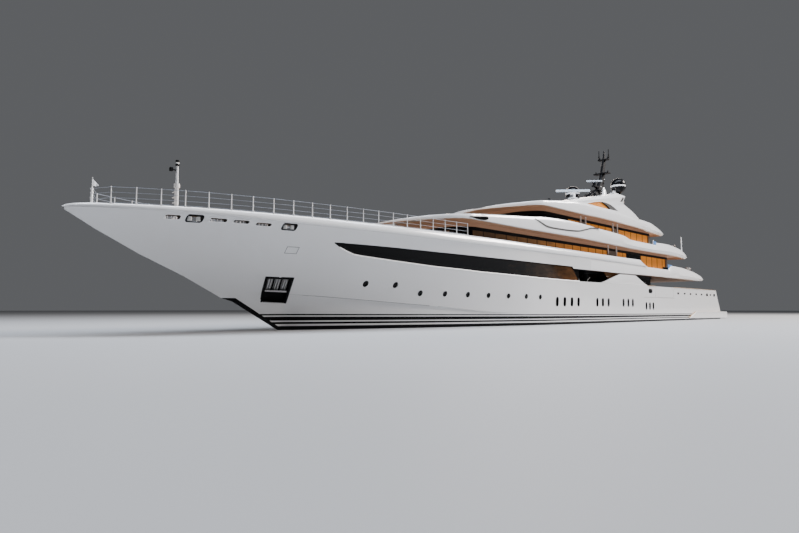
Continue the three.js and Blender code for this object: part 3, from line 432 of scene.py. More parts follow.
# Glass whose warm colour and glow are a painted sunset reflection, growing to amber aft
WARM_PAINTED_SUNSET_GLASS = painted_sunset_glass("warm_painted_sunset_glass", [
    (0.0, (0.1, 0.05, 0.022)), (0.14, (0.05, 0.03, 0.018)), (0.3, (0.16, 0.08, 0.034)), (0.5, (0.48, 0.18, 0.035)),
    (1.0, (0.6, 0.21, 0.03))], 0.14, 0.55, 0.06)
# The window band's glass: black forward, with a painted sunset reflection and glow in brown aft
BAND_PAINTED_SUNSET_GLASS = painted_sunset_glass("band_painted_sunset_glass", [
    (0.0, (0.002, 0.002, 0.002)), (0.18, (0.002, 0.002, 0.002)), (0.3, (0.02, 0.012, 0.007)),
    (0.42, (0.075, 0.034, 0.014)), (1.0, (0.12, 0.055, 0.02))], 0.08, 0.25, 0.08)
# A ledge that glows: a painted highlight along the lower edge of the window band
LEDGE_PAINTED_HIGHLIGHT = finish("ledge_painted_highlight", (0.9, 0.88, 0.86), 0.3, drift=0.02, grain=5, painted_glow=0.5)
WIRE = finish("rail_wire", (0.3, 0.33, 0.38), 0.4, drift=0.1, grain=30)

# Carried-over CAD solids take a worked finish in place of their plain colour
CAD_FINISH = {
    "hull_white": HULL, "gloss_white": WHITE, "taupe_paint": TAUPE, "black_paint": SATIN_BLACK,
    "dark_glass": DARK_GLASS, "lit_glass": WARM_PAINTED_SUNSET_GLASS, "white_plastic": WHITE, "black_plastic": SATIN_BLACK,
    "polished_steel": STEEL, "brushed_steel": BRUSHED, "bronze": BRONZE, "antifouling": ANTIFOUL, "cloth": CLOTH,
}
for part in frame["record"]["subparts"]:
    for holder in frame["nodes"][part["node"]].material_slots:
        holder.material = CAD_FINISH[part["material_slot"]]

# Camera at the photograph's place and angle, soft light, and a plain floor at the waterline
camera_data = bpy.data.cameras.new("camera")
camera_data.sensor_width = 36.0
camera_data.lens = 25.1
camera_data.clip_end = 200.0
camera = bpy.data.objects.new("camera", camera_data)
camera.location = (5.082, 3.328, 0.142)
HEADING, LOOK_UP = math.radians(46.49), math.radians(4.38)
aim = Vector((-math.cos(HEADING) * math.cos(LOOK_UP), -math.sin(HEADING) * math.cos(LOOK_UP),
              math.sin(LOOK_UP)))
camera.rotation_euler = aim.to_track_quat("-Z", "Y").to_euler()
bpy.context.collection.objects.link(camera)
bpy.context.scene.camera = camera

world = bpy.data.worlds.new("studio")
world.use_nodes = True
backdrop = world.node_tree.nodes["Background"]
backdrop.inputs["Color"].default_value = (0.72, 0.74, 0.78, 1)
backdrop.inputs["Strength"].default_value = 0.16
bpy.context.scene.world = world


def softbox(name, place, target, size, power, color):
    """A rectangular area light that faces a point."""
    light = bpy.data.lights.new(name, "AREA")
    light.shape, light.size, light.size_y = "RECTANGLE", *size
    light.energy, light.color = power, color
    thing = bpy.data.objects.new(name, light)
    thing.location = place
    thing.rotation_euler = (Vector(target) - Vector(place)).to_track_quat("-Z", "Y").to_euler()
    bpy.context.collection.objects.link(thing)


softbox("key", (-10.5, 7.5, 8.6), (-2.0, 0, 0.6), (6, 4), 3600, (1, 0.94, 0.9))
softbox("overhead", (2.0, 0.6, 6.5), (1.6, 0.1, 0.6), (10, 2.4), 1150, (0.84, 0.9, 1))
softbox("stern_fill", (-8.0, -5.0, 4.0), (-2.0, 0, 0.8), (5, 4), 420, (1, 0.88, 0.8))

FLOOR_REACH = 60
floor = Shape()
floor.add([(x * FLOOR_REACH, y * FLOOR_REACH, 0) for x, y in ((-1, -1), (1, -1), (1, 1), (-1, 1))], [(0, 1, 2, 3)])
ground = bpy.data.objects.new("floor", mesh_of("floor", floor))
ground.data.materials.append(finish("pale_floor", (0.42, 0.425, 0.435), 0.6, drift=0.02, grain=0.3, specular=0.2))
bpy.context.collection.objects.link(ground)

# Hull: a closed skin with its wells, windows, ports and stern cut out
UNDER_ROWS, SIDE_ROWS, ROW_STEP = 10, 15, 0.004
STATIONS = [0.12, 0.25, 0.45, 0.7, 1.0, 1.3, 1.61, 2.0, 2.5, 3.0, 3.5, 3.98, 4.5, 5.0, 5.5, 6.0, 6.59, 7.1, 7.6, 8.1,
            8.6, 8.99, 9.35, 9.75, 10.2, 10.6, 11, 11.4, 11.8, 12.2, 12.6, 12.9, STEM_FOOT, 13.4, 13.8, 14.2, 14.6,
            15, 15.6, 16.2, 16.8, 17.4, 18, 18.5, *(19 + 0.75 * i for i in range(87)), HULL_END]


def hull_rows(s):
    """Heights of the skin's points: under water, along the stripes, at the knuckle and up the side."""
    keel, top = keel_at(s), CAP_LOW(s) - ROW_STEP
    if s <= STEM_FOOT:
        rows = [max(0.0, keel) + ROW_STEP * (j + 1) for j in range(UNDER_ROWS)]
    else:
        rows = [keel * math.cos(j / (UNDER_ROWS + 1) * math.pi / 2) ** (2 / BILGE(s))
                for j in range(1, UNDER_ROWS + 1)]
    for level in STRIPES:
        rows.append(max(level * STRIPE_RISE(s), rows[-1] + ROW_STEP))
    knuckle = max(KNUCKLE(s), rows[-1] + 0.03)
    rows += [knuckle - 0.012, knuckle]
    return rows + [knuckle + (top - knuckle) * (j + 1) / SIDE_ROWS for j in range(SIDE_ROWS)]


def hull_solid():
    rings = []
    for s in STATIONS:
        port = [(max(hull_half(s, z), 0.02 + 0.002 * j), z) for j, z in enumerate(hull_rows(s))]
        rings.append([at(s, 0, keel_at(s) - 0.002), *two_sided(s, port)])
    return Shape().loft(rings)


def well(stations, floor_height, top, side):
    """A cutter that follows the hull's side, a little way in from it."""
    rim = min(top, SHEER_REF)
    middle = (floor_height + rim) / 2
    rings = []
    for s in stations:
        low, mid, high = (hull_half(s, z) - side for z in (floor_height, middle, rim))
        rings.append([at(s, -high, top), at(s, -mid, middle), at(s, -low, floor_height), at(s, low, floor_height),
                      at(s, mid, middle), at(s, high, top)])
    return Shape().loft(rings)


BAND = [  # station, lower edge, upper edge
    (14.75, 5.72, 5.77), (15.2, 5.52, 5.775), (15.7, 5.35, 5.77), (16.4, 5.13, 5.765), (17.0, 5.05, 5.76),
    (17.9, 4.99, 5.75), (19, 4.91, 5.74), (20.5, 4.81, 5.72), (23.6, 4.62, 5.67), (26.4, 4.52, 5.64),
    (28.6, 4.41, 5.61), (31.7, 4.33, 5.58), (36, 4.2, 5.53), (40, 4.14, 5.5), (41.5, 4.13, 5.49)]
BAND_LOW, BAND_HIGH = line(BAND), line(BAND, 2)
BAND_FROM, BAND_SLANT, BAND_TO, BAND_STEPS = 14.75, 41.5, 42.85, 80


def band_strip(first, last, shrink, inner, outer):
    """A strip that follows the window band between two depths in from the skin."""
    rings = []
    for i in range(BAND_STEPS + 1):
        s = first + (last - first) * (i / BAND_STEPS) ** 1.3
        low, high = BAND_LOW(s) + shrink, BAND_HIGH(s) - shrink
        over = max(0, s - BAND_SLANT) / (BAND_TO - BAND_SLANT)
        high = max(low + 0.01, high - over * (high - low))
        heights = [low + (high - low) * k / 3 for k in range(4)]
        near, deep = ([at(s, hull_half(s, z) - depth, z) for z in heights] for depth in (outer, inner))
        rings.append(near + deep[::-1])
    return Shape().loft(rings)


FAIRLEADS = [  # station, length, height, opening height, framed
    (4.87, 0.77, 6.52, 0.2, False), (5.96, 0.78, 6.5, 0.28, True), (7.19, 0.9, 6.51, 0.17, False),
    (8.42, 0.88, 6.5, 0.16, False), (9.72, 0.92, 6.45, 0.16, False), (11.3, 0.84, 6.42, 0.28, True)]
PORTS = [(18.34, 3.21), (20.76, 3.18), (23.1, 2.62), (25.41, 2.61), (27.72, 2.58), (29.96, 2.55), (32.3, 2.54),
         (34.55, 2.53), (36.51, 2.51)]
SLOTS = [*((s, 2.12) for s in (39.12, 40.33, 41.54, 42.71, 46.32, 47.47, 48.69, 52.06, 53.23, 54.35)),
         *((s, 1.79) for s in (57.92, 58.9, 59.85))]
FREEING = [(67.6, 3.43), (69.8, 3.43), (71.9, 3.43), (74.0, 3.43), (76.1, 3.43), (79.7, 3.43)]
PORT_RADIUS, HOLE_OUT, HOLE_IN = 0.225, 0.5, 2.5


def oval(half_long, half_tall, corner):
    """A rounded rectangle as (along, up) pairs."""
    out = []
    for quarter, (sx, sz) in enumerate(((1, 1), (-1, 1), (-1, -1), (1, -1))):
        for i in range(5):
            a = (quarter + i / 4) * math.pi / 2
            out.append((sx * (half_long - corner) + corner * math.cos(a),
                        sz * (half_tall - corner) + corner * math.sin(a)))
    return out


def side_ring(s, z, outline, inset):
    return [at(s + u, hull_half(s + u, z + v) - inset, z + v) for u, v in outline]


def side_hole(s, z, outline, depth):
    """A cutter through the hull's side, which goes right through where no depth is given."""
    half = hull_half(s, z)
    near, inside = ([at(s + u, y, z + v) for u, v in outline] for y in (half + HOLE_OUT, half - HOLE_IN))
    return Shape().loft([side_ring(s, z, outline, depth) if depth else inside, near])


def rim_and_pane(shape, s, z, outline, rim, depth, marks):
    """A raised frame round an opening in the side, and a pane set back in it."""
    grow = [1 + rim / max(0.05, abs(u) + abs(v)) for u, v in outline]
    outer = [(u * k, v * k) for (u, v), k in zip(outline, grow)]
    shape.loft([side_ring(s, z, outer, 0.002), side_ring(s, z, outer, -0.012), side_ring(s, z, outline, -0.014),
                side_ring(s, z, outline, depth)], marks[0], caps=False)
    pane = side_ring(s, z, outline, depth - 0.01)
    shape.add(pane, [tuple(range(len(pane)))], marks[1])


OPENINGS = [  # places, outline, depth of the hole, width of the frame, depth of the pane, marks of frame and pane
    (PORTS, [(PORT_RADIUS * math.cos(a), PORT_RADIUS * math.sin(a)) for a in turns(20)], 0.12, 0.05, 0.11, (0, 1)),
    (SLOTS, oval(0.2, 0.42, 0.195), 0.12, 0.025, 0.11, (2, 1)),
    # The freeing ports and the other ovals aft take a black frame and a black pane: painted shade in their openings
    (FREEING, oval(0.27, 0.1, 0.095), 0.1, 0.02, 0.09, (2, 2)),
    ([(78.3, 3.43), (81.3, 3.42)], oval(0.34, 0.18, 0.17), 0.1, 0.02, 0.09, (2, 2)),
    ([(59.1, 3.54)], oval(0.5, 0.24, 0.23), 0.12, 0.03, 0.11, (2, 2))]
POCKET = [(11.32, 3.48), (13.15, 3.47), (13.3, 1.8), (11.5, 1.87)]

CLUB_FROM, CLUB_HALF, CLUB_FLOOR, CLUB_HEAD = 77.4, 3.4, 1.12, 2.72
STAIR_IN, STAIR_OUT, STAIR_FROM, STAIR_STEPS = 4.35, 5.55, 80.6, 8
GATE_FROM, GATE_TO, GATE_LOW, GATE_IN = 60.5, 66.1, 2.86, 5.84
TRANSOM_FOOT, TRANSOM_TOP = 1.11, 7.2
TRANSOM_LEAN = 2.0 * (TRANSOM_TOP - TRANSOM_FOOT) / 3.01


def stair_outline():
    tread = (HULL_END + 0.2 - STAIR_FROM) / STAIR_STEPS
    rise = (MAIN_FLOOR - CLUB_FLOOR) / STAIR_STEPS
    out = [(STAIR_FROM, 6), (STAIR_FROM, MAIN_FLOOR)]
    for i in range(STAIR_STEPS):
        z = MAIN_FLOOR - (i + 1) * rise
        out += [(STAIR_FROM + i * tread + 0.001, z), (STAIR_FROM + (i + 1) * tread, z)]
    return out + [(HULL_END + 0.2, 6)]


details = Shape()
for places, outline, depth, *_ in OPENINGS:
    for s, z in places:
        details.take(side_hole(s, z, outline, depth))
for s, length, z, tall, framed in FAIRLEADS:
    details.take(side_hole(s, z, oval(length / 2, tall / 2, tall / 2.1), 0))

pocket_mouth = [[at(s, max(0.05, hull_half(s, z) - 0.5), z) for s, z in POCKET],
                [at(s, hull_half(s, z) + HOLE_OUT, z) for s, z in POCKET]]
hull_mesh = cut(mesh_of("hull_solid", hull_solid()), [
    Shape().prism([(84, TRANSOM_FOOT), (86, TRANSOM_FOOT), (86, TRANSOM_TOP), (HULL_END - TRANSOM_LEAN, TRANSOM_TOP)],
                  -8, 8),
    Shape().prism([(45, MAIN_BULWARK), (90, MAIN_BULWARK), (90, 9), (45, 9)], -8.2, 8.2),
    well([2.6, 3.2, 4, 5, 6, 7, 8, 9, 10.5, 12, 14, 16, 18, 20, 22.5, 25, 28, 31, 34, 38, 42, 46], UPPER_FLOOR, 7.3,
         0.36),
    well([46, 50, 54, 58, 62, 66, 70, 74, 78, 81.6], MAIN_FLOOR, 6, 0.28),
    Shape().block(43.1, 47, 4.88, hull_half(43.1, 3.4) - 0.28, MAIN_FLOOR, 5.3).mirror(),
    Shape().prism([(41.55, 5.3), (42.9, MAIN_BULWARK), (46, MAIN_BULWARK), (46, 5.3)], 4.88, 8.3).mirror(),
    band_strip(BAND_FROM, BAND_TO - 0.02, 0.0, 0.14, -0.6).mirror(),
    Shape().loft(pocket_mouth).mirror(),
    Shape().block(GATE_FROM, GATE_TO, GATE_IN, 8, GATE_LOW, MAIN_BULWARK + 1).mirror(),
    Shape().prism(stair_outline(), STAIR_IN, STAIR_OUT).mirror(),
    Shape().block(CLUB_FROM, HULL_END + 1, -CLUB_HALF, CLUB_HALF, CLUB_FLOOR, CLUB_HEAD),
    details.mirror(),
])

# Black of the stem: its top, and the slanted edge that runs down from a corner to the waterline
STEM_BLACK, STEM_CORNER, STEM_RAKE = 2.13, (9.86, 2.14), 1.738
# Painted shade in the reveals of the window band, ports and pocket, and of the fairleads: last station, lowest and
# highest
REVEAL_END, REVEAL_LOW, REVEAL_HIGH = 47.7, 1.7, 5.8
LEAD_END, LEAD_LOW, LEAD_HIGH = 12, 6, 6.7
# The skin's last station, how far from it a face may lie, and where its true normals start, from the bow and keel
SKIN_END, SKIN_REACH, SMOOTH_FROM, KEEL_EDGE = 83.9, 0.07, 0.4, 0.06


def skin_normal(s, z, side):
    """The skin's normal, from the slopes of the half-breadth along the ship and upwards."""
    along = (hull_half(s + 0.02, z) - hull_half(s - 0.02, z)) / 0.04
    up = (hull_half(s, z + 0.006) - hull_half(s, z - 0.006)) / 0.012
    return Vector((along, math.copysign(1, side), -up)).normalized()


def hull_mark(s, y, z, on_skin, level):
    """A face's paint: 0 white, 1 black, 2 antifouling, 3 teak, 4 black as painted shade in the reveals, 5 the inside.
    """
    corner, height = STEM_CORNER
    if z < 0:
        return 2
    if on_skin:
        stem = z < STEM_BLACK if s < corner else s < corner + (height - z) * STEM_RAKE
        band = sum(z / STRIPE_RISE(s) > stripe for stripe in STRIPES[1:])
        return int(stem or band % 2 == 0)
    if level and min(abs(z - UPPER_FLOOR), abs(z - MAIN_FLOOR), abs(z - CLUB_FLOOR)) < 0.02:
        return 3
    if y < 0.1 and z < CAP_LOW(s) - 0.1:
        return int(z < STEM_BLACK)
    side_shade = s < REVEAL_END and REVEAL_LOW < z < REVEAL_HIGH
    lead_shade = s < LEAD_END and LEAD_LOW < z < LEAD_HIGH and y > hull_half(s, z) - 0.4
    return 4 if side_shade or lead_shade else 5


def finish_hull(mesh):
    """Splits the paint along the stem's black, then sets paints and the skin's true normals."""
    work = bmesh.new()
    work.from_mesh(mesh)
    for low, high, point, normal in ((8.6, 14.5, (STEM_CORNER[0], 0, STEM_CORNER[1]), (1, 0, -STEM_RAKE)),
                                     (8.4, 10.2, (9, 0, STEM_BLACK), (0, 0, 1))):
        chosen = [f for f in work.faces if low < MID - f.calc_center_median().x / SCALE < high
                  and -0.02 * SCALE < f.calc_center_median().z < 3 * SCALE]
        edges = {e for f in chosen for e in f.edges}
        verts = {v for f in chosen for v in f.verts}
        bmesh.ops.bisect_plane(work, geom=[*verts, *edges, *chosen], dist=1e-6, plane_co=Vector(at(*point)),
                               plane_no=Vector(normal).normalized())
    work.to_mesh(mesh)
    work.free()
    marks, normals = [], [None] * len(mesh.loops)
    for face in mesh.polygons:
        s, y, z = MID - face.center.x / SCALE, abs(face.center.y) / SCALE, face.center.z / SCALE
        on_skin = (s < SKIN_END and z < CAP_LOW(s) - 0.02 and abs(y - hull_half(s, z)) < SKIN_REACH
                   and skin_normal(s, z, face.center.y).dot(face.normal) > 0.75)
        marks.append(hull_mark(s, y, z, on_skin, face.normal.z > 0.9))
        for loop in face.loop_indices:
            normals[loop] = face.normal.copy()
            spot = mesh.vertices[mesh.loops[loop].vertex_index].co * 0.9 + face.center * 0.1
            s, z = MID - spot.x / SCALE, spot.z / SCALE
            if on_skin and s >= SMOOTH_FROM and z >= keel_at(s) + KEEL_EDGE:
                true = skin_normal(s, z, spot.y)
                if true.dot(face.normal) > 0.9:
                    normals[loop] = true
    mesh.polygons.foreach_set("material_index", marks)
    for face in mesh.polygons:
        face.use_smooth = True
    mesh.normals_split_custom_set(normals)
    return mesh


# The skin's fifth paint, satin black, is painted shade in the reveals
hull_mesh.materials.clear()
piece("hull_skin", finish_hull(hull_mesh), [HULL, BLACK, ANTIFOUL, TEAK, SATIN_BLACK, INSIDE],
      ["hull_bow", "hull_midships", "hull_stern"], crease=0)

# Window band glass with its painted sunset glow, set back behind a reveal painted black as shade, over a ledge with a
# painted highlight and glow
band_painted_sunset_glass = band_strip(BAND_FROM + 0.25, BAND_TO - 0.12, 0.035, 0.135, 0.1)
piece("window_band_glass", band_painted_sunset_glass.mirror(), BAND_PAINTED_SUNSET_GLASS, sides("window_band"))

rings = []
for s in spread(15.3, BAND_TO, 70):
    z = BAND_LOW(s)
    y = hull_half(s, z)
    rings.append([at(s, y + out, z + up) for out, up in (
        (-0.1, -0.02), (0.012, -0.03), (0.03, 0.01), (0.01, 0.045), (-0.1, 0.05))])
piece("window_band_ledge", Shape().loft(rings).mirror(), LEDGE_PAINTED_HIGHLIGHT)

# Ports, slots and freeing ports
port_shape = Shape()
for places, outline, _, rim, depth, marks in OPENINGS:
    for s, z in places:
        rim_and_pane(port_shape, s, z, outline, rim, depth, marks)
piece("side_ports", port_shape.mirror(), [WHITE, DARK_GLASS, SATIN_BLACK], crease=30)

# Fairleads: black frames and thick rollers in the two large ones, white lips and thin posts in the others
lead_shape = Shape()
for s, length, z, tall, framed in FAIRLEADS:
    outline = oval(length / 2, tall / 2, tall / 2.1)
    grow = [(u + math.copysign(0.05, u), v + math.copysign(0.05, v)) for u, v in outline]
    lead_shape.loft([side_ring(s, z, grow, 0.002), side_ring(s, z, grow, -0.03), side_ring(s, z, outline, -0.035),
                     side_ring(s, z, outline, 0.1)], int(framed), caps=False)
    posts, deep, wide, mark = ((-0.22, 0.22), 0.07, 0.11, 2) if framed else ((-0.2, 0.0, 0.2), 0.16, 0.03, 0)
    for offset in posts:
        lead_shape.post(s + offset, hull_half(s + offset, z) - deep, z - tall / 2 + 0.02, z + tall / 2 - 0.02,
                        wide * SCALE, 10, mark)
piece("fairleads", lead_shape.mirror(), [WHITE, SATIN_BLACK, LAMP])

# Seams drawn on the shell: a hatch by the bow and a long line amidships
flush = Shape()
HATCH = [(11.8, 4.96), (12.57, 4.96), (12.57, 5.34), (11.8, 5.34)]
for edge in range(4):
    (s0, z0), (s1, z1) = HATCH[edge], HATCH[(edge + 1) % 4]
    path = [(s0 + (s1 - s0) * t, z0 + (z1 - z0) * t) for t in spread(-0.02, 1.02, 6)]
    flush.tube([at(s, hull_half(s, z) - 0.012, z) for s, z in path], 0.0024, 6)
flush.tube([at(s, hull_half(s, 2.8) - 0.004, 2.8) for s in spread(57.3, 66.5, 16)], 0.0018, 6)
piece("flush_hatch_seams", flush.mirror(), finish("seam_grey", (0.2, 0.2, 0.2), 0.5, drift=0.1))

# Anchor pocket: black frame, ribbed plate above, and below it a black plate set back in the mouth as painted shade
pocket = Shape()


def pocket_point(u, v, inset):
    """A point of the pocket's face, u aft and v down, both 0 to 1."""
    top, low = ([POCKET[a][k] + (POCKET[b][k] - POCKET[a][k]) * u for k in (0, 1)] for a, b in ((0, 1), (3, 2)))
    s, z = (top[k] + (low[k] - top[k]) * v for k in (0, 1))
    return at(s, max(0.05, hull_half(s, z) - inset), z)


def pocket_plate(u0, u1, v0, v1, inset, thick, mark):
    corners = [(u0, v0), (u1, v0), (u1, v1), (u0, v1)]
    pocket.loft([[pocket_point(u, v, depth) for u, v in corners] for depth in (inset + thick, inset)], mark)


for u0, u1, v0, v1 in ((-0.02, 0.07, -0.02, 1.02), (0.93, 1.02, -0.02, 1.02), (0.07, 0.93, -0.02, 0.06),
                       (0.07, 0.93, 0.96, 1.02)):
    pocket_plate(u0, u1, v0, v1, -0.02, 0.2, 0)
pocket_plate(0.05, 0.95, 0.05, 0.55, 0.36, 0.03, 1)
# The black plate set back in the lower half paints the shade of the pocket's mouth
pocket_plate(0.05, 0.95, 0.55, 0.97, 0.3, 0.03, 0)
for i in range(9):
    left = 0.09 + 0.093 * i
    pocket_plate(left, left + 0.035, 0.06, 0.52, 0.24, 0.12, 1 if i % 3 else 0)
pocket_plate(0.06, 0.94, 0.5, 0.56, 0.1, 0.26, 1)
for i in range(11):
    pocket_plate(0.08 + 0.08 * i, 0.11 + 0.08 * i, 0.97, 1.0, -0.03, 0.08, 1)
piece("anchor_pockets", pocket.mirror(), [SATIN_BLACK, BRUSHED], sides("anchor_pocket_liner"), crease=25)

# Sheer cap: a bull-nosed moulding round the deck edge
rings = []
for s in [0.0, 0.04, 0.12, 0.25, 0.45, 0.7, 1, 1.4, 1.9, 2.5, *(3 + 0.6 * i for i in range(90)), 56.7, 57.0, 57.5, 58.0,
          58.2]:
    half, low, top = float(sheer_half(max(s, 0.003))), CAP_LOW(s), float(CAP_TOP(s))
    tall = top - low
    inner = max(0.004, half - 0.42)
    side = [(half - 0.03, low), (half + 0.045, low + 0.08 * tall), (half + 0.06, low + 0.22 * tall),
            (half + 0.035, low + 0.48 * tall), (half - 0.015, low + 0.74 * tall), (half - 0.075, low + 0.93 * tall),
            (half - 0.12, top), (half - 0.36, top), (inner, top - 0.03), (inner, low)]
    rings.append([at(s, max(0.003, y), z) for y, z in side])
piece("sheer_moulding", Shape().loft(rings).mirror(), WHITE, ["sheer_cap"], crease=50)


# Decks: fascia, rounded rim, teak floor and taupe soffit with a painted glow
def nose(start, length, half, s):
    return half * math.sqrt(max(0.0004, 1 - max(0, 1 - (s - start) / length) ** 2))

# Rows of a deck: station, half-breadth (None on the rounded nose), lower and upper edge of the fascia
UPPER_DECK = [
    (45.004, 6.27, 5.3, 6.47), (47, 6.27, 5.29, 6.466), (52, 6.27, 5.28, 6.42), (58.2, 6.27, 5.31, 6.326),
    (64.9, 6.27, 5.3, 6.3), (66.1, 6.27, 5.3, 6.86), (69.2, 6.26, 5.3, 6.81), (71.3, 6.25, 5.31, 6.69),
    (74.5, 6.22, 5.32, 6.37), (76.6, 6.18, 5.33, 6.06), (77.7, 5.95, 5.36, 5.9), (78.4, 5.5, 5.4, 5.82),
    (78.9, 4.6, 5.44, 5.8), (79.1, 3.2, 5.46, 5.8)]
BRIDGE_DECK = [
    (22.45, None, 8.28, 8.42), (22.7, None, 8.26, 8.48), (23.3, None, 8.27, 8.56), (24.3, None, 8.32, 8.66),
    (26.2, None, 8.42, 8.82), (29, 6.08, 8.41, 9.08), (33.2, 6.08, 8.38, 9.42), (35.4, 6.08, 8.38, 9.6),
    (37.1, 6.08, 8.39, 9.76), (39.7, 6.08, 8.41, 9.88), (42.4, 6.08, 8.42, 9.91), (45.4, 6.08, 8.39, 9.84),
    (47.1, 6.08, 8.36, 9.75), (49.3, 6.08, 8.33, 9.71), (52, 6.08, 8.3, 9.64), (53.6, 6.08, 8.28, 9.54),
    (55.2, 6.08, 8.26, 9.27), (57.2, 6.08, 8.25, 9.24), (60.9, 6.08, 8.22, 9.22), (62.1, 6.08, 8.22, 9.5),
    (65.5, 6.08, 8.24, 9.57), (69.7, 6.05, 8.2, 9.27), (71.4, 5.98, 8.16, 8.98), (72.4, 5.75, 8.16, 8.76),
    (73, 5.2, 8.2, 8.68), (73.3, 4.2, 8.24, 8.66), (73.4, 3, 8.26, 8.66)]
SUN_DECK = [
    (34.9, None, 10.92, 11.12), (35.2, None, 10.9, 11.18), (35.9, None, 10.92, 11.27), (37, None, 11.02, 11.42),
    (38.8, 5.35, 11.12, 11.66), (42, 5.35, 11.1, 12.05), (45, 5.35, 11.1, 12.32), (50, 5.35, 11.14, 12.28),
    (56, 5.33, 11.06, 12.16), (60.3, 5.3, 11.0, 12.12), (61.2, 5.3, 10.88, 12.1), (62.6, 5.28, 10.86, 12.06),
    (65, 5.2, 10.83, 11.7), (66.5, 5.05, 10.84, 11.44), (67.2, 4.75, 10.88, 11.34), (67.7, 4.1, 10.94, 11.32),
    (67.9, 3, 10.98, 11.32)]
DECK_MARKS = [1] + [0] * 8 + [2] + [0] * 8 + [1, 1]


def fair_side(s, z, half):
    """The hull side's own line on the forward fascia, eased into the deck's half-breadth aft."""
    ease = min(1, max(0, (s - 50) / 10))
    return hull_half(s, z) * (1 - ease) + half * ease


def deck_shape(rows, nose_plan, floor_height, soffit, extra, lean, side=lambda s, z, half: half, bare_to=0):
    """A deck: nose_plan is its nose's start, length and half-breadth, lean the stretch where the fascia falls in."""
    start, length, _ = nose_plan
    rows = [(s, nose(*nose_plan, s) if b is None else b, low, top) for s, b, low, top in rows]
    half_at, low_at, top_at = (curve(rows, k) for k in (1, 2, 3))
    first, last = rows[0][0], rows[-1][0]
    rings = []
    for s in sorted({round(s, 3) for s in [*extra, *[r[0] for r in rows]] if first <= s <= last}):
        half = nose(*nose_plan, s) if start and s < start + length else half_at(s)
        low, top = low_at(s), top_at(s)
        rim, lip = min(0.34, 0.45 * half), min(0.8, 0.45 * half)
        plate = min(floor_height, top - 0.04)
        head = max(min(soffit, plate - 0.12), low + 0.01)
        z0, z3, z7, z9 = (low + share * (top - low) for share in (0.06, 0.3, 0.7, 0.9))
        fold = min(1, max(0, (s - lean[0]) / (lean[1] - lean[0])))
        port = [(half - lip, head), (half - min(0.12, 0.2 * half) - 0.2 * fold, low + 0.01),
                (side(s, z0, half) - 0.01 - 0.17 * fold, z0), (side(s, z3, half), z3),
                (side(s, z7, half) - 0.015 - 0.1 * fold, z7), (side(s, z9, half) - 0.05 - 0.16 * fold, z9),
                (half - min(0.11, 0.2 * half) - 0.16 * fold, top - 0.004), (half - 0.95 * rim - 0.12 * fold, top),
                (half - rim - 0.12 * fold, top - 0.02), (half - rim - 0.002 - 0.12 * fold, plate)]
        rings.append(two_sided(s, port))
    shape = Shape().loft(rings, DECK_MARKS)
    for k, face in enumerate(shape.faces):
        if len(face) > 4 or shape.marks[k] == 2 and MID - shape.points[face[0]][0] / SCALE < bare_to:
            shape.marks[k] = 0
    return shape


DECK_PAINT = [WHITE, SOFFIT_PAINTED_GLOW, TEAK]
HOOD = [  # station, half-breadth, crown, foot
    (22.9, 1.9, 8.52, 8.42), (23.8, 3.4, 8.72, 8.46), (24.8, 4.3, 8.95, 8.5), (26.2, 5.1, 9.24, 8.55),
    (27.7, 5.5, 9.44, 8.6), (28.5, 5.6, 9.42, 8.6), (28.9, 5.6, 8.8, 8.6)]
# The upper deck's soffit takes the darkened copy of the taupe as painted shade
piece("upper_deck_skin", deck_shape(
    UPPER_DECK, (0, 1, 0), UPPER_FLOOR, UPPER_SOFFIT,
    spread(45.1, 64.8, 20) + spread(64.9, 66.1, 8) + spread(66.2, 79.1, 36), (62, 69), fair_side),
    [WHITE, SOFFIT_PAINTED_SHADE, TEAK], ["upper_deck"], crease=32)
bridge = deck_shape(
    BRIDGE_DECK, (22.4, 4.5, 6.08), BRIDGE_FLOOR, BRIDGE_SOFFIT,
    [22.47, 22.52, 22.6, *spread(22.8, 30, 30), *spread(30.5, 60.8, 40), *spread(60.9, 62.1, 8),
     *spread(62.2, 73.4, 40)], (45, 55))
hood_half, hood_crown, hood_foot = (curve(HOOD, k) for k in (1, 2, 3))
bridge.loft([[at(s, half * hood_half(s), hood_foot(s) + (hood_crown(s) - hood_foot(s)) * (1 - half ** 2) ** 0.5)
              for half in spread(-1, 1, 24)] for s in [22.95, 23.1, *spread(23.3, 28.5, 16), 28.7, 28.9]])
piece("bridge_deck_skin", bridge, DECK_PAINT, ["bridge_deck", *sides("bridge_bulwark")], crease=32)
piece("sun_deck_skin", deck_shape(
    SUN_DECK, (34.85, 3.6, 5.35), SUN_FLOOR, SUN_SOFFIT,
    [34.92, 34.97, 35.05, *spread(35.3, 40, 26), *spread(40.5, 67.9, 60)], (57, 64), bare_to=44),
    DECK_PAINT, ["sun_deck"], crease=32)


# Side-view forms from outlines of (station, height), where a third value keeps a corner sharp
def smooth(points, steps=6):
    """A closed curve through the points."""
    spots, sharp = [np.array(p[:2], float) for p in points], [len(p) > 2 for p in points]
    count, out = len(spots), []
    for i in range(count):
        a, b, after = spots[i], spots[(i + 1) % count], (i + 1) % count
        lead = b - a if sharp[i] else (b - spots[i - 1]) / 2
        trail = b - a if sharp[after] else (spots[(i + 2) % count] - a) / 2
        for k in range(steps):
            t = k / steps
            p = (2 * t ** 3 - 3 * t * t + 1) * a + (t ** 3 - 2 * t * t + t) * lead
            out.append(tuple(p + (3 * t * t - 2 * t ** 3) * b + (t ** 3 - t * t) * trail))
    return out


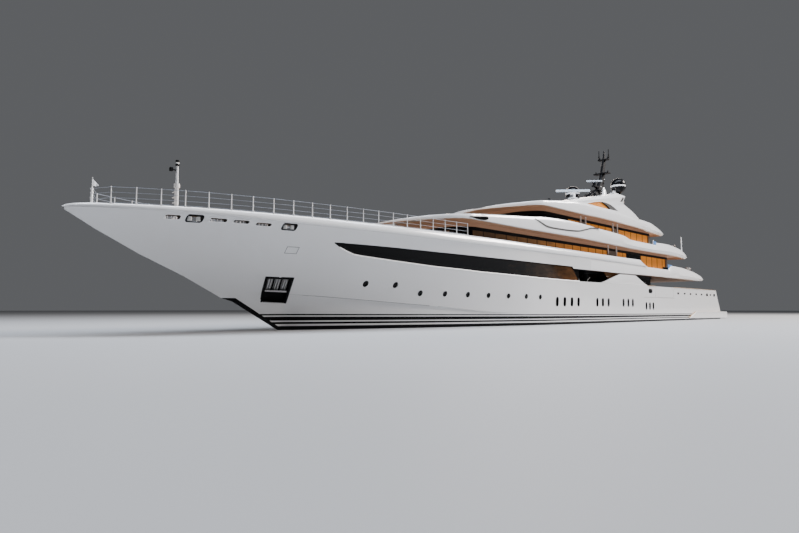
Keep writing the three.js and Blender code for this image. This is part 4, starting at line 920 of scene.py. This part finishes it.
def inset(outline, depth):
    """An outline drawn in by a depth."""
    area = sum(a[0] * b[1] - b[0] * a[1] for a, b in zip(outline, outline[1:] + outline[:1]))
    out = []
    for i, p in enumerate(outline):
        along = np.array(outline[(i + 1) % len(outline)]) - np.array(outline[i - 1])
        along = along / (np.linalg.norm(along) + 1e-9) * math.copysign(depth, area)
        out.append((p[0] - along[1], p[1] + along[0]))
    return out


def soft_prism(shape, outline, y0, y1, edge, mark=0):
    """A side-view form between two half-breadths, with eased edges."""
    levels = [(y0, edge), (y0 + 0.3 * edge, 0.3 * edge), (y0 + edge, 0), (y1 - edge, 0), (y1 - 0.3 * edge, 0.3 * edge),
              (y1, edge)]
    return shape.loft([[at(s, y, z) for s, z in inset(outline, d)] for y, d in levels], mark)


# Deckhouses: sill, glass, a black strip at the head as painted shadow under the soffit, and pillars swept round a plan
# with a rounded front
WALL, GLASS_BACK, PAINTED_SHADOW_STRIP, MULLION_STEP = 0.16, 0.1, 0.28, 1.62
DOOR_HALF, DOOR_HEAD = 1.35, 2.3


def house_path(plan, draw_in, aft_to):
    """Points of a house's port side, drawn in from a plan of start, end, half-breadth and length of the nose."""
    start, end, half, nose_length = plan
    front, wide = start + draw_in, half - draw_in
    path = [(front, 0.0), (front, 0.2 * wide), (front, 0.35 * wide)]
    for i in range(1, 13):
        turn = i / 12 * math.pi / 2
        path.append((front + nose_length * (1 - math.cos(turn)), wide * (0.35 + 0.65 * math.sin(turn))))
    path += [(s, wide) for s in spread(front + nose_length, end - draw_in, 30)[1:]]
    return path + [(end - draw_in, y) for y in spread(wide, aft_to, 6)[1:]]


def sweep(shape, plan, out, inner, z0, z1, mark=0, aft_to=DOOR_HALF, marks=None):
    """A band of wall between two depths and two heights; marks gives a face's number by station and half-breadth."""
    rings = [[at(*a, z0), at(*a, z1), at(*b, z1), at(*b, z0)]
             for a, b in zip(house_path(plan, out, aft_to), house_path(plan, inner, aft_to))]
    first = len(shape.faces)
    shape.loft(rings, mark)
    if marks:
        for k in range(first, len(shape.faces) - 2):
            x, y, _ = rings[(k - first) // 4][0]
            shape.marks[k] = marks(MID - x / SCALE, y / SCALE)


def house(name, plan, floor_height, soffit, sill, head, pillars, glass_marks):
    """A deckhouse's walls and glass; a pillar is (from, to, whether its edges stand out)."""
    _, end, half, _ = plan
    walls = Shape()
    sweep(walls, plan, 0, WALL, floor_height + 0.01, sill, 0)
    # A black strip at the head of the glass paints the shadow under the soffit; above it the soffit's taupe with its
    # painted glow, or black as painted shade on the main deck
    sweep(walls, plan, 0.02, WALL, head, head + PAINTED_SHADOW_STRIP, 1)
    sweep(walls, plan, 0.02, WALL, head + PAINTED_SHADOW_STRIP, soffit - 0.005, 3 if floor_height > MAIN_FLOOR else 1)
    for s0, s1, edged in pillars:
        walls.block(s0, s1, half - 0.12, half + 0.03, sill, head, 0, 0.015)
        for s in (s0, s1 - 0.16) if edged else ():
            walls.block(s, s + 0.16, half - 0.1, half + 0.07, floor_height + 0.01, soffit - 0.005, 2, 0.02)
    walls.block(end - WALL, end, DOOR_HALF, DOOR_HALF + 0.25, sill, head)
    walls.mirror()
    walls.block(end - WALL, end, -DOOR_HALF, DOOR_HALF, floor_height + DOOR_HEAD, soffit - 0.005, 1)
    piece(name + "_walls", walls, [TAUPE, SATIN_BLACK, WHITE, SOFFIT_PAINTED_GLOW], [name], crease=30)
    glass = Shape()
    sweep(glass, plan, GLASS_BACK, GLASS_BACK + 0.04, sill - 0.02, head + 0.02, 0, DOOR_HALF + 0.1, glass_marks)
    s = plan[0] + plan[3] + 0.8
    while s < end - 0.8:
        glass.block(s - 0.03, s + 0.03, half - GLASS_BACK - 0.02, half - GLASS_BACK + 0.02, sill, head, 2)
        s += MULLION_STEP
    piece(name + "_glass", glass.mirror(), [WARM_PAINTED_SUNSET_GLASS, DARK_GLASS, SATIN_BLACK],
          [name.replace("house", "glazing")], crease=30)


house("upper_house", (26.9, 68.6, 4.62, 2.2), UPPER_FLOOR, BRIDGE_SOFFIT, 6.3, 7.9,
      [(51.9, 54.1, True), (68.05, 68.55, False)], lambda s, y: int(27.2 < s < 28.6 and y > 2.6 or 55.7 < s < 59.6))
house("bridge_house", (38.2, 64.1, 4.3, 2.0), BRIDGE_FLOOR, SUN_SOFFIT, 9.15, 10.62,
      [(46.6, 47.8, True), (53.9, 55.2, True), (63.6, 64.05, False)], lambda s, y: int(s < 44))
house("main_house", (46.2, 63.0, 4.8, 0.4), MAIN_FLOOR, UPPER_SOFFIT, 3.3, 5.1,
      [(51.5, 52.0, False), (56.5, 57.0, False)], lambda s, y: 1)

# Main deck side opening: wings, brown panes with a painted sunset glow and the teak cap rail of the bulwark
wing = soft_prism(Shape(), smooth([(47.4, MAIN_BULWARK + 0.005, 1), (51.4, 5.18, 1), (53.3, 5.21), (55.3, 5.2, 1),
                                   (58.4, MAIN_BULWARK + 0.005, 1)], 3), 5.95, 6.19, 0.04)
piece("bulwark_wings", wing.mirror(), HULL, sides("bulwark_wing"))
pane = soft_prism(Shape(), [(48.8, 5.385), (49.5, 4.78), (50.1, 4.7), (52.9, 5.385)], 5.6, 5.66, 0.01)
piece("side_panes", pane.mirror(), BAND_PAINTED_SUNSET_GLASS, sides("side_pane"))
cap_rail = Shape()
for first, last in ((58.6, GATE_FROM - 0.05), (GATE_TO + 0.05, 81.95)):
    rings = []
    for s in spread(first, last, 20):
        y, z0, z1 = hull_half(s, MAIN_BULWARK), MAIN_BULWARK + 0.004, MAIN_BULWARK + 0.05
        rings.append([at(s, y - 0.3, z0), at(s, y + 0.03, z0), at(s, y + 0.05, (z0 + z1) / 2), at(s, y + 0.02, z1),
                      at(s, y - 0.3, z1)])
    cap_rail.loft(rings)
piece("bulwark_cap_rail", cap_rail.mirror(), TEAK)

# Groove that folds down and up again across the bridge deck's side, and the navigation light's recess before it, both
# near-black as painted shade
GROOVE = [  # station, height, half of the width
    (35.4, 9.43, 0.03), (36.4, 9.14, 0.08), (37.4, 8.91, 0.09), (38.2, 8.88, 0.08), (40, 8.9, 0.08),
    (42.9, 9.05, 0.07), (44.4, 9.34, 0.06), (45.8, 9.64, 0.05), (46.5, 9.7, 0.04), (47.3, 9.72, 0.015)]
groove_height, groove_half = curve(GROOVE), curve(GROOVE, 2)
groove = Shape().loft([
    [at(s, y, groove_height(s) + side * groove_half(s)) for y, side in ((5.9, -1), (6.095, -1), (6.095, 1), (5.9, 1))]
    for s in spread(35.4, 47.3, 60)])
piece("fascia_groove", groove.mirror(), finish("groove_painted_shade", (0.03, 0.028, 0.028), 0.5, drift=0.1))
# The recess is filled with a dark form: painted shade
recess = soft_prism(Shape(), smooth([(26.3, 8.6), (27.4, 8.8), (28.3, 8.86), (28.6, 8.68), (28.2, 8.5), (27.2, 8.48)],
                                    4), 5.55, 6.11, 0.02)
piece("nav_light_recess", recess.mirror(), DARK_GLASS)
# Arch fins with a window of glass with a painted sunset glow, hardtop and casing
FIN = [(42.8, 12.1, 1), (44.0, 12.4), (45.64, 12.82), (47.4, 13.17), (49.3, 13.48), (51.43, 13.96), (53.55, 14.49),
       (55.2, 14.74), (57.0, 14.72, 1), (56.35, 14.2), (55.8, 13.68), (56.5, 13.34), (57.7, 12.9), (58.95, 12.2, 1),
       (58.6, SUN_FLOOR + 0.02, 1), (43.5, SUN_FLOOR + 0.02, 1)]
FIN_WINDOW = [(46.5, 12.36, 1), (47.45, 12.6), (48.7, 12.86), (50.2, 13.07), (51.5, 13.09), (52.6, 12.9),
              (53.7, 12.45, 1), (51.3, 12.39), (49.0, 12.36)]
FIN_OUT, FIN_IN, TUMBLEHOME, LEAN_FROM = 5.25, 4.55, 0.265, 12.1


def leaned(shape, half=0):
    """Draws a form in towards the centreline above the deck, evenly or in proportion to its half-breadth."""
    for i, (x, y, z) in enumerate(shape.points):
        draw = TUMBLEHOME * max(0, z / SCALE - LEAN_FROM)
        shape.points[i] = (x, y * (1 - draw / half) if half else y - draw * SCALE, z)
    return shape


fin_mesh = cut(mesh_of("fin", leaned(soft_prism(Shape(), smooth(FIN), FIN_IN, FIN_OUT, 0.08))),
               [Shape().prism(smooth(FIN_WINDOW, 5), 4, 6)])
fins = Shape().add([tuple(v.co) for v in fin_mesh.vertices], [tuple(f.vertices) for f in fin_mesh.polygons])
piece("arch_fins", fins.mirror(), WHITE, sides("arch_fin"), crease=40)
arch_glass = soft_prism(Shape(), smooth(FIN_WINDOW, 5), FIN_OUT - 0.3, FIN_OUT - 0.2, 0.01)
arch_glass.prism(smooth([(50.2, 13.13, 1), (51.9, 13.06), (53.7, 12.44, 1), (51.9, 12.38, 1), (51.3, 12.78)], 4),
                 FIN_OUT - 0.2, FIN_OUT - 0.03, 1)
piece("arch_windows", leaned(arch_glass).mirror(), [WARM_PAINTED_SUNSET_GLASS, SATIN_BLACK])

TOP_HALF, TOP_EDGE = 4.64, 4.45
rings = []
for y in [-4.64, -4.6, -4.45, *spread(-4.2, 4.2, 12), 4.45, 4.6, 4.64]:
    edge = max(0.0, abs(y) - TOP_EDGE) * 0.35
    crown = 0.1 * (1 - (y / TOP_HALF) ** 2)
    aft = 57.3 + 3.9 * (1 - (abs(y) / TOP_HALF) ** 4)
    low = [(46.5, 12.8), (48.4, 13.2), (50.8, 13.72), (53.2, 14.2), (55.1, 14.46), (57, 14.48), (aft, 14.5)]
    high = [(aft, 14.7), (57, 14.72), (55.1, 14.72), (53.2, 14.44), (50.8, 13.93), (48.4, 13.4), (46.5, 12.86)]
    rings.append([at(s, y, z + edge) for s, z in low] + [at(s, y, z + crown * (s > 47) - edge) for s, z in high])
piece("hardtop_skin", leaned(Shape().loft(rings), TOP_HALF), WHITE, ["hardtop"], crease=35)
casing = soft_prism(Shape(), [(50.5, SUN_FLOOR + 0.01), (50.5, 13.62), (53.2, 14.18), (55.1, 14.44), (58.6, 14.465),
                              (58.6, SUN_FLOOR + 0.01)], -2.4, 2.4, 0.06)
for side in (-1, 1):
    for i in range(6):
        casing.block(51.2 + 1.1 * i, 52.1 + 1.1 * i, *sorted((side * 2.38, side * 2.43)), 12.0, 13.2, 1)
piece("exhaust_casing", casing, [WHITE, SATIN_BLACK], ["casing"])
arch_gear = Shape()
arch_gear.block(54.2, 55.3, 3.95, 4.5, 14.66, 14.78, 0, 0.02)
arch_gear.lathe((54.7, 4.25, 14.7), [(0.001, 0.02), (0.16, 0.06), (0.12, 0.25), (0.18, 0.3), (0.2, 0.42), (0.2, 0.62),
                                     (0.14, 0.72), (0.001, 0.76)], 20, [0] * 3 + [1] * 4)
arch_gear.take(leaned(soft_prism(Shape(), [(55.0, 13.78), (56.0, 14.42), (56.45, 14.45), (55.5, 13.78)],
                                 FIN_OUT - 0.05, FIN_OUT + 0.01, 0.01, 1)))
piece("arch_lamps", arch_gear.mirror(), [WHITE, SATIN_BLACK])

# Radar mast: column, shelves, yards, whips and lamps
MAST = [  # height, fore edge, aft edge, half-breadth
    (14.73, 55.7, 59.4, 0.5), (15.1, 56.15, 59.45, 0.46), (15.6, 56.7, 59.6, 0.4), (16.1, 57.9, 59.85, 0.34),
    (16.6, 58.9, 60.1, 0.28), (17.4, 59.5, 60.5, 0.24), (18.2, 60.0, 60.9, 0.2), (19.7, 60.5, 61.15, 0.16),
    (21.2, 61.0, 61.4, 0.12), (21.7, 61.12, 61.32, 0.08)]
rings = []
for z, fore, aft, half in MAST:
    edge = 0.3 * half
    port = [(fore, half - edge), (fore + edge, half), (aft - edge, half), (aft, half - edge)]
    rings.append([at(s, y, z) for s, y in port] + [at(s, -y, z) for s, y in port[::-1]])
mast = Shape().loft(rings)
mast.block(60.8, 61.4, -0.7, 0.7, 20.65, 20.79, 0, 0.02)
mast.block(60.1, 60.9, -1, 1, 18.72, 18.86, 0, 0.02)
mast.block(58.05, 60.2, -0.22, 0.22, 16.76, 16.94, 0, 0.02)
mast.post(58.35, 0, 16.9, 17.35, 0.02, 14)
for y in (-0.64, 0.64):
    mast.post(61.1, y, 20.7, 22.0, 0.0055, 8)
    mast.post(61.1, y, 20.75, 21.3, 0.01, 10)
for s, y, z, r, h in ((61.2, 0, 21.6, 0.09, 0.35), (60.5, 0.8, 18.86, 0.1, 0.3), (60.5, -0.8, 18.86, 0.1, 0.3),
                      (60.3, 0.3, 17.4, 0.08, 0.2), (61.1, 0.5, 20.79, 0.07, 0.25), (61.1, -0.5, 20.79, 0.07, 0.25),
                      (58.9, 0.4, 15.9, 0.12, 0.35), (57.6, 0.5, 15.4, 0.16, 0.5), (57.0, -0.5, 15.2, 0.16, 0.5)):
    mast.lathe((s, y, z), [(0.001, 0), (r, 0.01), (r * 0.9, h * 0.7), (r * 0.5, h * 0.95), (0.001, h)], 14)
for s, reach, z in ((58.4, 0.6, 16.3), (57.2, 0.75, 15.5)):
    mast.block(s, s + 0.9, -reach, reach, z, z + 0.08, 0, 0.015)
    for y in (-reach + 0.05, reach - 0.05):
        mast.tube([at(s + 0.1, y, z), at(s + 1.2, y * 0.3, z - 0.5)], 0.004, 6)
for y in (-0.18, 0.18):
    mast.tube([at(60.45, y, 17.0), at(61.35, y * 0.6, 20.7)], 0.003, 6)
for i in range(12):
    z = 17.1 + 0.3 * i
    s = 60.45 + 0.9 * (z - 17.0) / 3.7
    mast.tube([at(s + 0.02, -0.16, z), at(s + 0.02, 0.16, z)], 0.002, 6)
piece("mast_column", mast, SATIN_BLACK, ["radar_mast"], crease=40)
mast_lamps = Shape()
for spot in ((60.95, 0, 19.2), (60.6, 0.22, 18.0), (59.6, 0.25, 16.9)):
    mast_lamps.lathe(spot, [(0.001, 0), (0.09, 0.01), (0.09, 0.1), (0.001, 0.11)], 14)
piece("mast_lamps", mast_lamps, LAMP)
FAIRING = [  # height, fore edge, aft edge, half-breadth
    (14.73, 59.5, 61.05, 0.6), (15.4, 59.62, 61.0, 0.56), (16.0, 59.8, 60.95, 0.48), (16.6, 60.12, 60.9, 0.36),
    (17.0, 60.3, 60.7, 0.2)]
rings = []
for z, fore, aft, half in FAIRING:
    mid, long = (fore + aft) / 2, (aft - fore) / 2
    rings.append([at(mid - long * swell(math.cos(a), 0.6), half * swell(math.sin(a), 0.6), z) for a in turns(24)])
fairing = Shape().loft(rings)
for y in (-0.57, 0.57):
    fairing.block(59.9, 60.1, y - 0.02, y + 0.02, 15.3, 15.55, 1)
    fairing.block(60.3, 60.5, y - 0.02, y + 0.02, 15.5, 15.75, 1)
piece("mast_foot", fairing, [WHITE, SATIN_BLACK], ["mast_fairing"], crease=50)

SCANNER_BLUE = finish("scanner_grey_blue", (0.5, 0.58, 0.66), 0.35, coat=0.2, drift=0.04, grain=12)
SCANNER_TURN, SCANNER_HALF_WIDTH, SCANNER_LIFT = math.radians(133.5), 0.11, 0.06


def scanner(letter, s, z, half, tall):
    """A radar bar with a rounded section and a white strip round it, set across its turning hub."""
    shape = Shape()
    for k, (long, wide, thin, drop) in enumerate(((1, 1, 1, 0), (1.002, 1.04, 0.28, 0.1))):
        rings = []
        for u, scale in ((-1, 0.5), (-0.985, 0.9), (-0.95, 1), (0.95, 1), (0.985, 0.9), (1, 0.5)):
            ring = []
            for a in turns(16):
                x, y = u * half * long, SCANNER_HALF_WIDTH * scale * swell(math.cos(a), 0.5) * wide
                up = tall / 2 * scale * swell(math.sin(a), 0.5) * thin - tall * drop
                ring.append(at(s - x * math.cos(SCANNER_TURN) + y * math.sin(SCANNER_TURN),
                               x * math.sin(SCANNER_TURN) + y * math.cos(SCANNER_TURN),
                               z + SCANNER_LIFT + tall / 2 + up))
            rings.append(ring)
        shape.loft(rings, k)
    shape.lathe((s, 0, z), [(0.001, 0), (0.12, 0.002), (0.12, 0.05), (0.1, 0.1), (0.001, 0.1)], 20)
    piece("scanner_bar_" + letter, shape, [SCANNER_BLUE, WHITE], ["radar_scanner_" + letter],
          "radar_" + letter, crease=40)


scanner("x", 58.35, 17.36, 0.98, 0.18)
scanner("s", 53.0, 15.3, 2.0, 0.26)
pedestal = Shape()
pedestal.lathe((53.0, 0, 14.42), [(0.001, 0.06), (0.42, 0.07), (0.38, 0.16), (0.3, 0.24), (0.3, 0.62), (0.26, 0.7),
                                  (0.26, 0.86), (0.2, 0.875), (0.001, 0.876)], 28)
pedestal.block(52.55, 53.45, -0.42, 0.42, 14.5, 14.62, 0, 0.03)
pedestal.block(52.66, 52.72, -0.2, 0.2, 14.66, 14.98, 1)
piece("scanner_pedestal", pedestal, [WHITE, BRUSHED], ["radar_pedestal_s"])

# Satellite domes: black with a white band, on flanged pedestals
DOME = [(0.001, 0.01), (0.42, 0.012), (0.42, 0.06), (0.32, 0.1), (0.3, 0.78), (0.42, 0.84), (0.62, 0.98), (0.77, 1.2),
        (0.84, 1.4), (0.855, 1.5), (0.86, 1.7), (0.852, 1.84), (0.83, 2.0), (0.79, 2.12), (0.72, 2.25), (0.62, 2.37),
        (0.48, 2.48), (0.3, 2.55), (0.12, 2.585), (0.001, 2.59)]
dome = Shape().lathe((58.4, 3.05, 14.72), DOME, 40, [0] * 4 + [1] * 5 + [2] + [1] * 9)
piece("dome_pair", dome.mirror(), [SATIN_BLACK, BLACK, WHITE], sides("satellite_dome"), crease=50)

# Bow rail: tapered stanchions on base plates, and four wires, the top one thicker; bar sizes in metres of the scene
RAIL_LEVELS, WIRE_RADIUS, TOP_WIRE_RADIUS = (0.985, 0.66, 0.33, 0.05), 0.001, 0.0014
RAIL_FIRST, RAIL_STEP, RAIL_HEIGHT, RAIL_INSET, RAIL_POSTS = 2.0, 1.244, 0.9, 0.14, 21
rail = Shape()
edge_line = np.array(spread(RAIL_FIRST, 30, 600))
edge_length = np.concatenate([[0], np.cumsum(np.hypot(np.diff(edge_line), np.diff(sheer_half(edge_line))))])
feet = [float(np.interp(RAIL_STEP * i, edge_length, edge_line)) for i in range(RAIL_POSTS)]


def foot(s, lift=0.0):
    return at(s, float(sheer_half(s)) - RAIL_INSET, float(CAP_TOP(s)) + 0.004 + lift)


for s in feet:
    rail.tube([foot(s), foot(s, RAIL_HEIGHT * 0.5), foot(s, RAIL_HEIGHT)], [0.0034, 0.003, 0.0024], 10)
    rail.tube([foot(s), foot(s, 0.03)], 0.0075, 12)
    rail.tube([foot(s, RAIL_HEIGHT - 0.02), foot(s, RAIL_HEIGHT + 0.02)], 0.0032, 10)
for level in RAIL_LEVELS:
    rail.tube([foot(s, RAIL_HEIGHT * level) for s in spread(feet[0], feet[-1], 60)],
              TOP_WIRE_RADIUS if level == RAIL_LEVELS[0] else WIRE_RADIUS, 6, 1)
rail.mirror()
for level in RAIL_LEVELS[:3]:
    x, y, z = foot(feet[0], RAIL_HEIGHT * level)
    rail.tube([(x, y, z), (at(1.42, 0, 0)[0], 0, z + 0.002), (x, -y, z)], WIRE_RADIUS, 6, 1)
piece("rail_forward", rail, [WHITE, WIRE], ["bow_rail"])

# Jackstaff, pennant and foremast
JACKSTAFF, FOREMAST = 1.4, 6
staff = Shape()
base = float(CAP_TOP(JACKSTAFF)) + 0.004
staff.tube([at(JACKSTAFF, 0, z) for z in (base, 8.0, 8.06)], [0.0072, 0.0055, 0.003], 16)
staff.post(JACKSTAFF, 0, 8.0, 8.6, 0.002, 10)
for z in (base + 0.01, 7.45, 7.72, 7.95):
    staff.post(JACKSTAFF, 0, z, z + 0.05, 0.009, 16)
staff.lathe((JACKSTAFF, 0, 8.58), [(0.001, 0), (0.035, 0.01), (0.035, 0.03), (0.001, 0.04)], 12)
piece("jackstaff_pole", staff, WHITE, ["jackstaff"])
ROWS, COLUMNS = 8, 12
points, faces = [], []
for j in range(ROWS + 1):
    for i in range(COLUMNS + 1):
        u, v = i / COLUMNS, j / ROWS
        points.append(at(1.428 + 0.28 * u, 0.05 * u * math.sin(7 * u + 1.2 * v), 8.5 - 0.26 * u - (0.38 - 0.3 * u) * v))
        if i < COLUMNS and j < ROWS:
            k = j * (COLUMNS + 1) + i
            faces.append((k, k + 1, k + COLUMNS + 2, k + COLUMNS + 1))
pennant = piece("bow_pennant", Shape().add(points, faces), CLOTH, ["pennant"], crease=80)
thick = pennant.modifiers.new("thickness", "SOLIDIFY")
thick.thickness, thick.offset = 0.0004, 0
foremast = Shape()
foremast.tube([at(FOREMAST, 0, z) for z in (UPPER_FLOOR + 0.01, 8.75, 8.8)], [0.0135, 0.0115, 0.011], 20)
foremast.post(FOREMAST, 0, 8.75, 10.08, [0.009, 0.007], 16)
foremast.post(FOREMAST, 0, UPPER_FLOOR + 0.01, UPPER_FLOOR + 0.08, 0.03, 24)
foremast.post(FOREMAST, 0, 8.72, 8.96, 0.0175, 20)
for i in range(7):
    z = 6.5 + 0.32 * i
    foremast.tube([at(5.9, -0.14, z), at(5.8, -0.14, z), at(5.8, 0.14, z), at(5.9, 0.14, z)], 0.0018, 8)
foremast.tube([at(5.94, 0, 9.78), at(5.7, 0, 9.8)], 0.004, 12, 1)
foremast.block(5.55, 5.72, -0.12, 0.12, 9.68, 9.92, 1, 0.02)
for z0, z1, radius, mark in ((10.05, 10.17, 0.0115, 1), (10.17, 10.28, 0.01, 2), (10.28, 10.4, 0.0115, 1)):
    foremast.post(FOREMAST, 0, z0, z1, radius, 20, mark)
piece("foremast_pole", foremast, [WHITE, SATIN_BLACK, LAMP], ["foremast"])

# Foredeck gear: windlasses, chain pipes, bollards and flush hatches
gear = Shape()
gear.block(8.4, 9.7, 0.9, 1.6, UPPER_FLOOR + 0.01, UPPER_FLOOR + 0.18, 0, 0.03)
gear.block(8.7, 9.4, 1.0, 1.5, UPPER_FLOOR + 0.15, UPPER_FLOOR + 0.62, 0, 0.06)
gear.tube([at(9.0, 0.72, UPPER_FLOOR + 0.5), at(9.0, 1.78, UPPER_FLOOR + 0.5)], 0.012, 20, 1)
for y0, y1, r in ((0.74, 0.8, 0.03), (0.8, 0.92, 0.021), (1.56, 1.62, 0.03), (1.62, 1.76, 0.02), (1.74, 1.8, 0.027)):
    gear.tube([at(9.0, y0, UPPER_FLOOR + 0.5), at(9.0, y1, UPPER_FLOOR + 0.5)], r, 24, 1)
gear.lathe((10.6, 1.1, UPPER_FLOOR), [(0.001, 0.01), (0.2, 0.012), (0.19, 0.06), (0.13, 0.09), (0.12, 0.42),
                                      (0.18, 0.5), (0.18, 0.54), (0.001, 0.56)], 24, 1)
for s, y in ((7.2, 1.3), (12.4, 2.3), (13.1, 2.45)):
    gear.lathe((s, y, UPPER_FLOOR), [(0.001, 0.01), (0.16, 0.012), (0.16, 0.04), (0.09, 0.06), (0.09, 0.32),
                                     (0.12, 0.36), (0.12, 0.4), (0.001, 0.42)], 20, 1)
piece("foredeck_gear", gear.mirror(), [WHITE, STEEL], sides("windlass"))
hatch = Shape()
for s, y0, y1, long in ((14.6, -0.5, 0.5, 1.0), (18.0, 0.9, 1.9, 1.0), (18.0, -1.9, -0.9, 1.0), (21.5, -0.6, 0.6, 1.2)):
    hatch.block(s, s + long, y0, y1, UPPER_FLOOR - 0.01, UPPER_FLOOR + 0.07, 0, 0.03)
    hatch.block(s + 0.1, s + long - 0.1, y0 + 0.1, y1 - 0.1, UPPER_FLOOR + 0.06, UPPER_FLOOR + 0.085, 1, 0.01)
piece("foredeck_hatches", hatch, [WHITE, DARK_GLASS])

# Ensign staff, aft deck rails, awning poles and the wings' glass screens
STERN_RAIL_HEIGHT = 1.08
ensign = Shape()
ensign.tube([at(76.58, 0, UPPER_FLOOR + 0.02), at(77.7, 0, 8.4)], [0.0042, 0.0026], 12)
ensign.lathe((77.7, 0, 8.38), [(0.001, 0), (0.045, 0.03), (0.045, 0.06), (0.001, 0.09)], 12)
ensign.tube([at(76.6, 0, UPPER_FLOOR + 0.01), at(76.72, 0, UPPER_FLOOR + 0.25)], 0.007, 12)
piece("ensign_pole", ensign, WHITE, ["ensign_staff"])
for name, deck, plan in (
        ("upper_stern_rail", UPPER_FLOOR,
         [(72.2, 5.7), (73.8, 5.66), (75.2, 5.3), (76.1, 4.4), (76.4, 2.9), (76.5, 0.8)]),
        ("bridge_stern_rail", BRIDGE_FLOOR,
         [(68.8, 5.55), (69.9, 5.3), (70.6, 4.8), (71.0, 3.8), (71.2, 2.4), (71.25, 0.8)])):
    shape = Shape()
    for s, y in plan:
        shape.post(s, y, deck + 0.005, deck + STERN_RAIL_HEIGHT, 0.0032, 10)
        shape.post(s, y, deck + 0.005, deck + 0.04, 0.008, 12)
    for lift, radius in ((0.3, 0.0014), (0.55, 0.0014), (0.8, 0.0014), (STERN_RAIL_HEIGHT, 0.0028)):
        shape.tube([at(s, y, deck + lift) for s, y in plan + [(plan[-1][0] + 0.02, 0)]], radius, 8)
    piece(name + "_bars", shape.mirror(), STEEL, [name])
poles = Shape()
for s, y, low, high in ((70.7, 5.72, 9.05, 10.95), (61.35, 5.82, 9.15, 9.75)):
    poles.tube([at(s, y, z) for z in (low, high - 0.05, high)], [0.006, 0.0048, 0.003], 12)
    poles.post(s, y, low, low + 0.14, 0.009, 14)
piece("awning_poles", poles.mirror(), WHITE)
wing_glass = Shape()
for s0, s1, y, z0, z1, mark in ((65.0, 66.3, 6.05, 6.28, 6.96, 0), (63.4, 65.0, 6.05, 6.28, 6.6, 1),
                                (61.2, 62.0, 5.9, 9.2, 9.62, 0)):
    wing_glass.block(s0, s1, y - 0.02, y + 0.02, z0, z1, mark, 0.01)
piece("wing_glass", wing_glass.mirror(), [BLUE_GLASS, DARK_GLASS])

# Swim platform with a teak top and a rubbing strip
PLATFORM = [  # station, half-breadth, lower edge, upper edge
    (71, 6.36, 0.24, 0.3), (72.2, 6.37, 0.22, 0.72), (73.4, 6.38, 0.2, 1.09), (78, 6.38, 0.18, 1.08),
    (84, 6.38, 0.16, 1.07), (86.3, 6.3, 0.14, 1.06), (87.2, 6.0, 0.2, 1.05), (87.5, 5.6, 0.3, 1.04)]
plat_half, plat_low, plat_top = (line(PLATFORM, k) for k in (1, 2, 3))
rings = []
for s in spread(71, 73.4, 6) + spread(74, 83.9, 10) + spread(84, 87.5, 24):
    half, low, top = plat_half(s), plat_low(s), plat_top(s)
    edge = min(0.06, (top - low) / 3)
    inner = hull_half(s, 0.6) - 0.02 if s < HULL_END else 0.0
    rings.append([at(s, y, z) for y, z in (
        (inner, low), (half - edge, low), (half, low + edge), (half, top - edge), (half - edge, top), (inner, top))])
platform = Shape().loft(rings, [0, 0, 0, 0, 1, 0])
piece("platform_skin", platform.mirror(), [HULL, TEAK], ["swim_platform"], crease=35)
piece("platform_filler_trim", Shape().block(84.0, 84.06, -6.0, 6.0, 0.9, 1.1, 0, 0.01), BRUSHED)
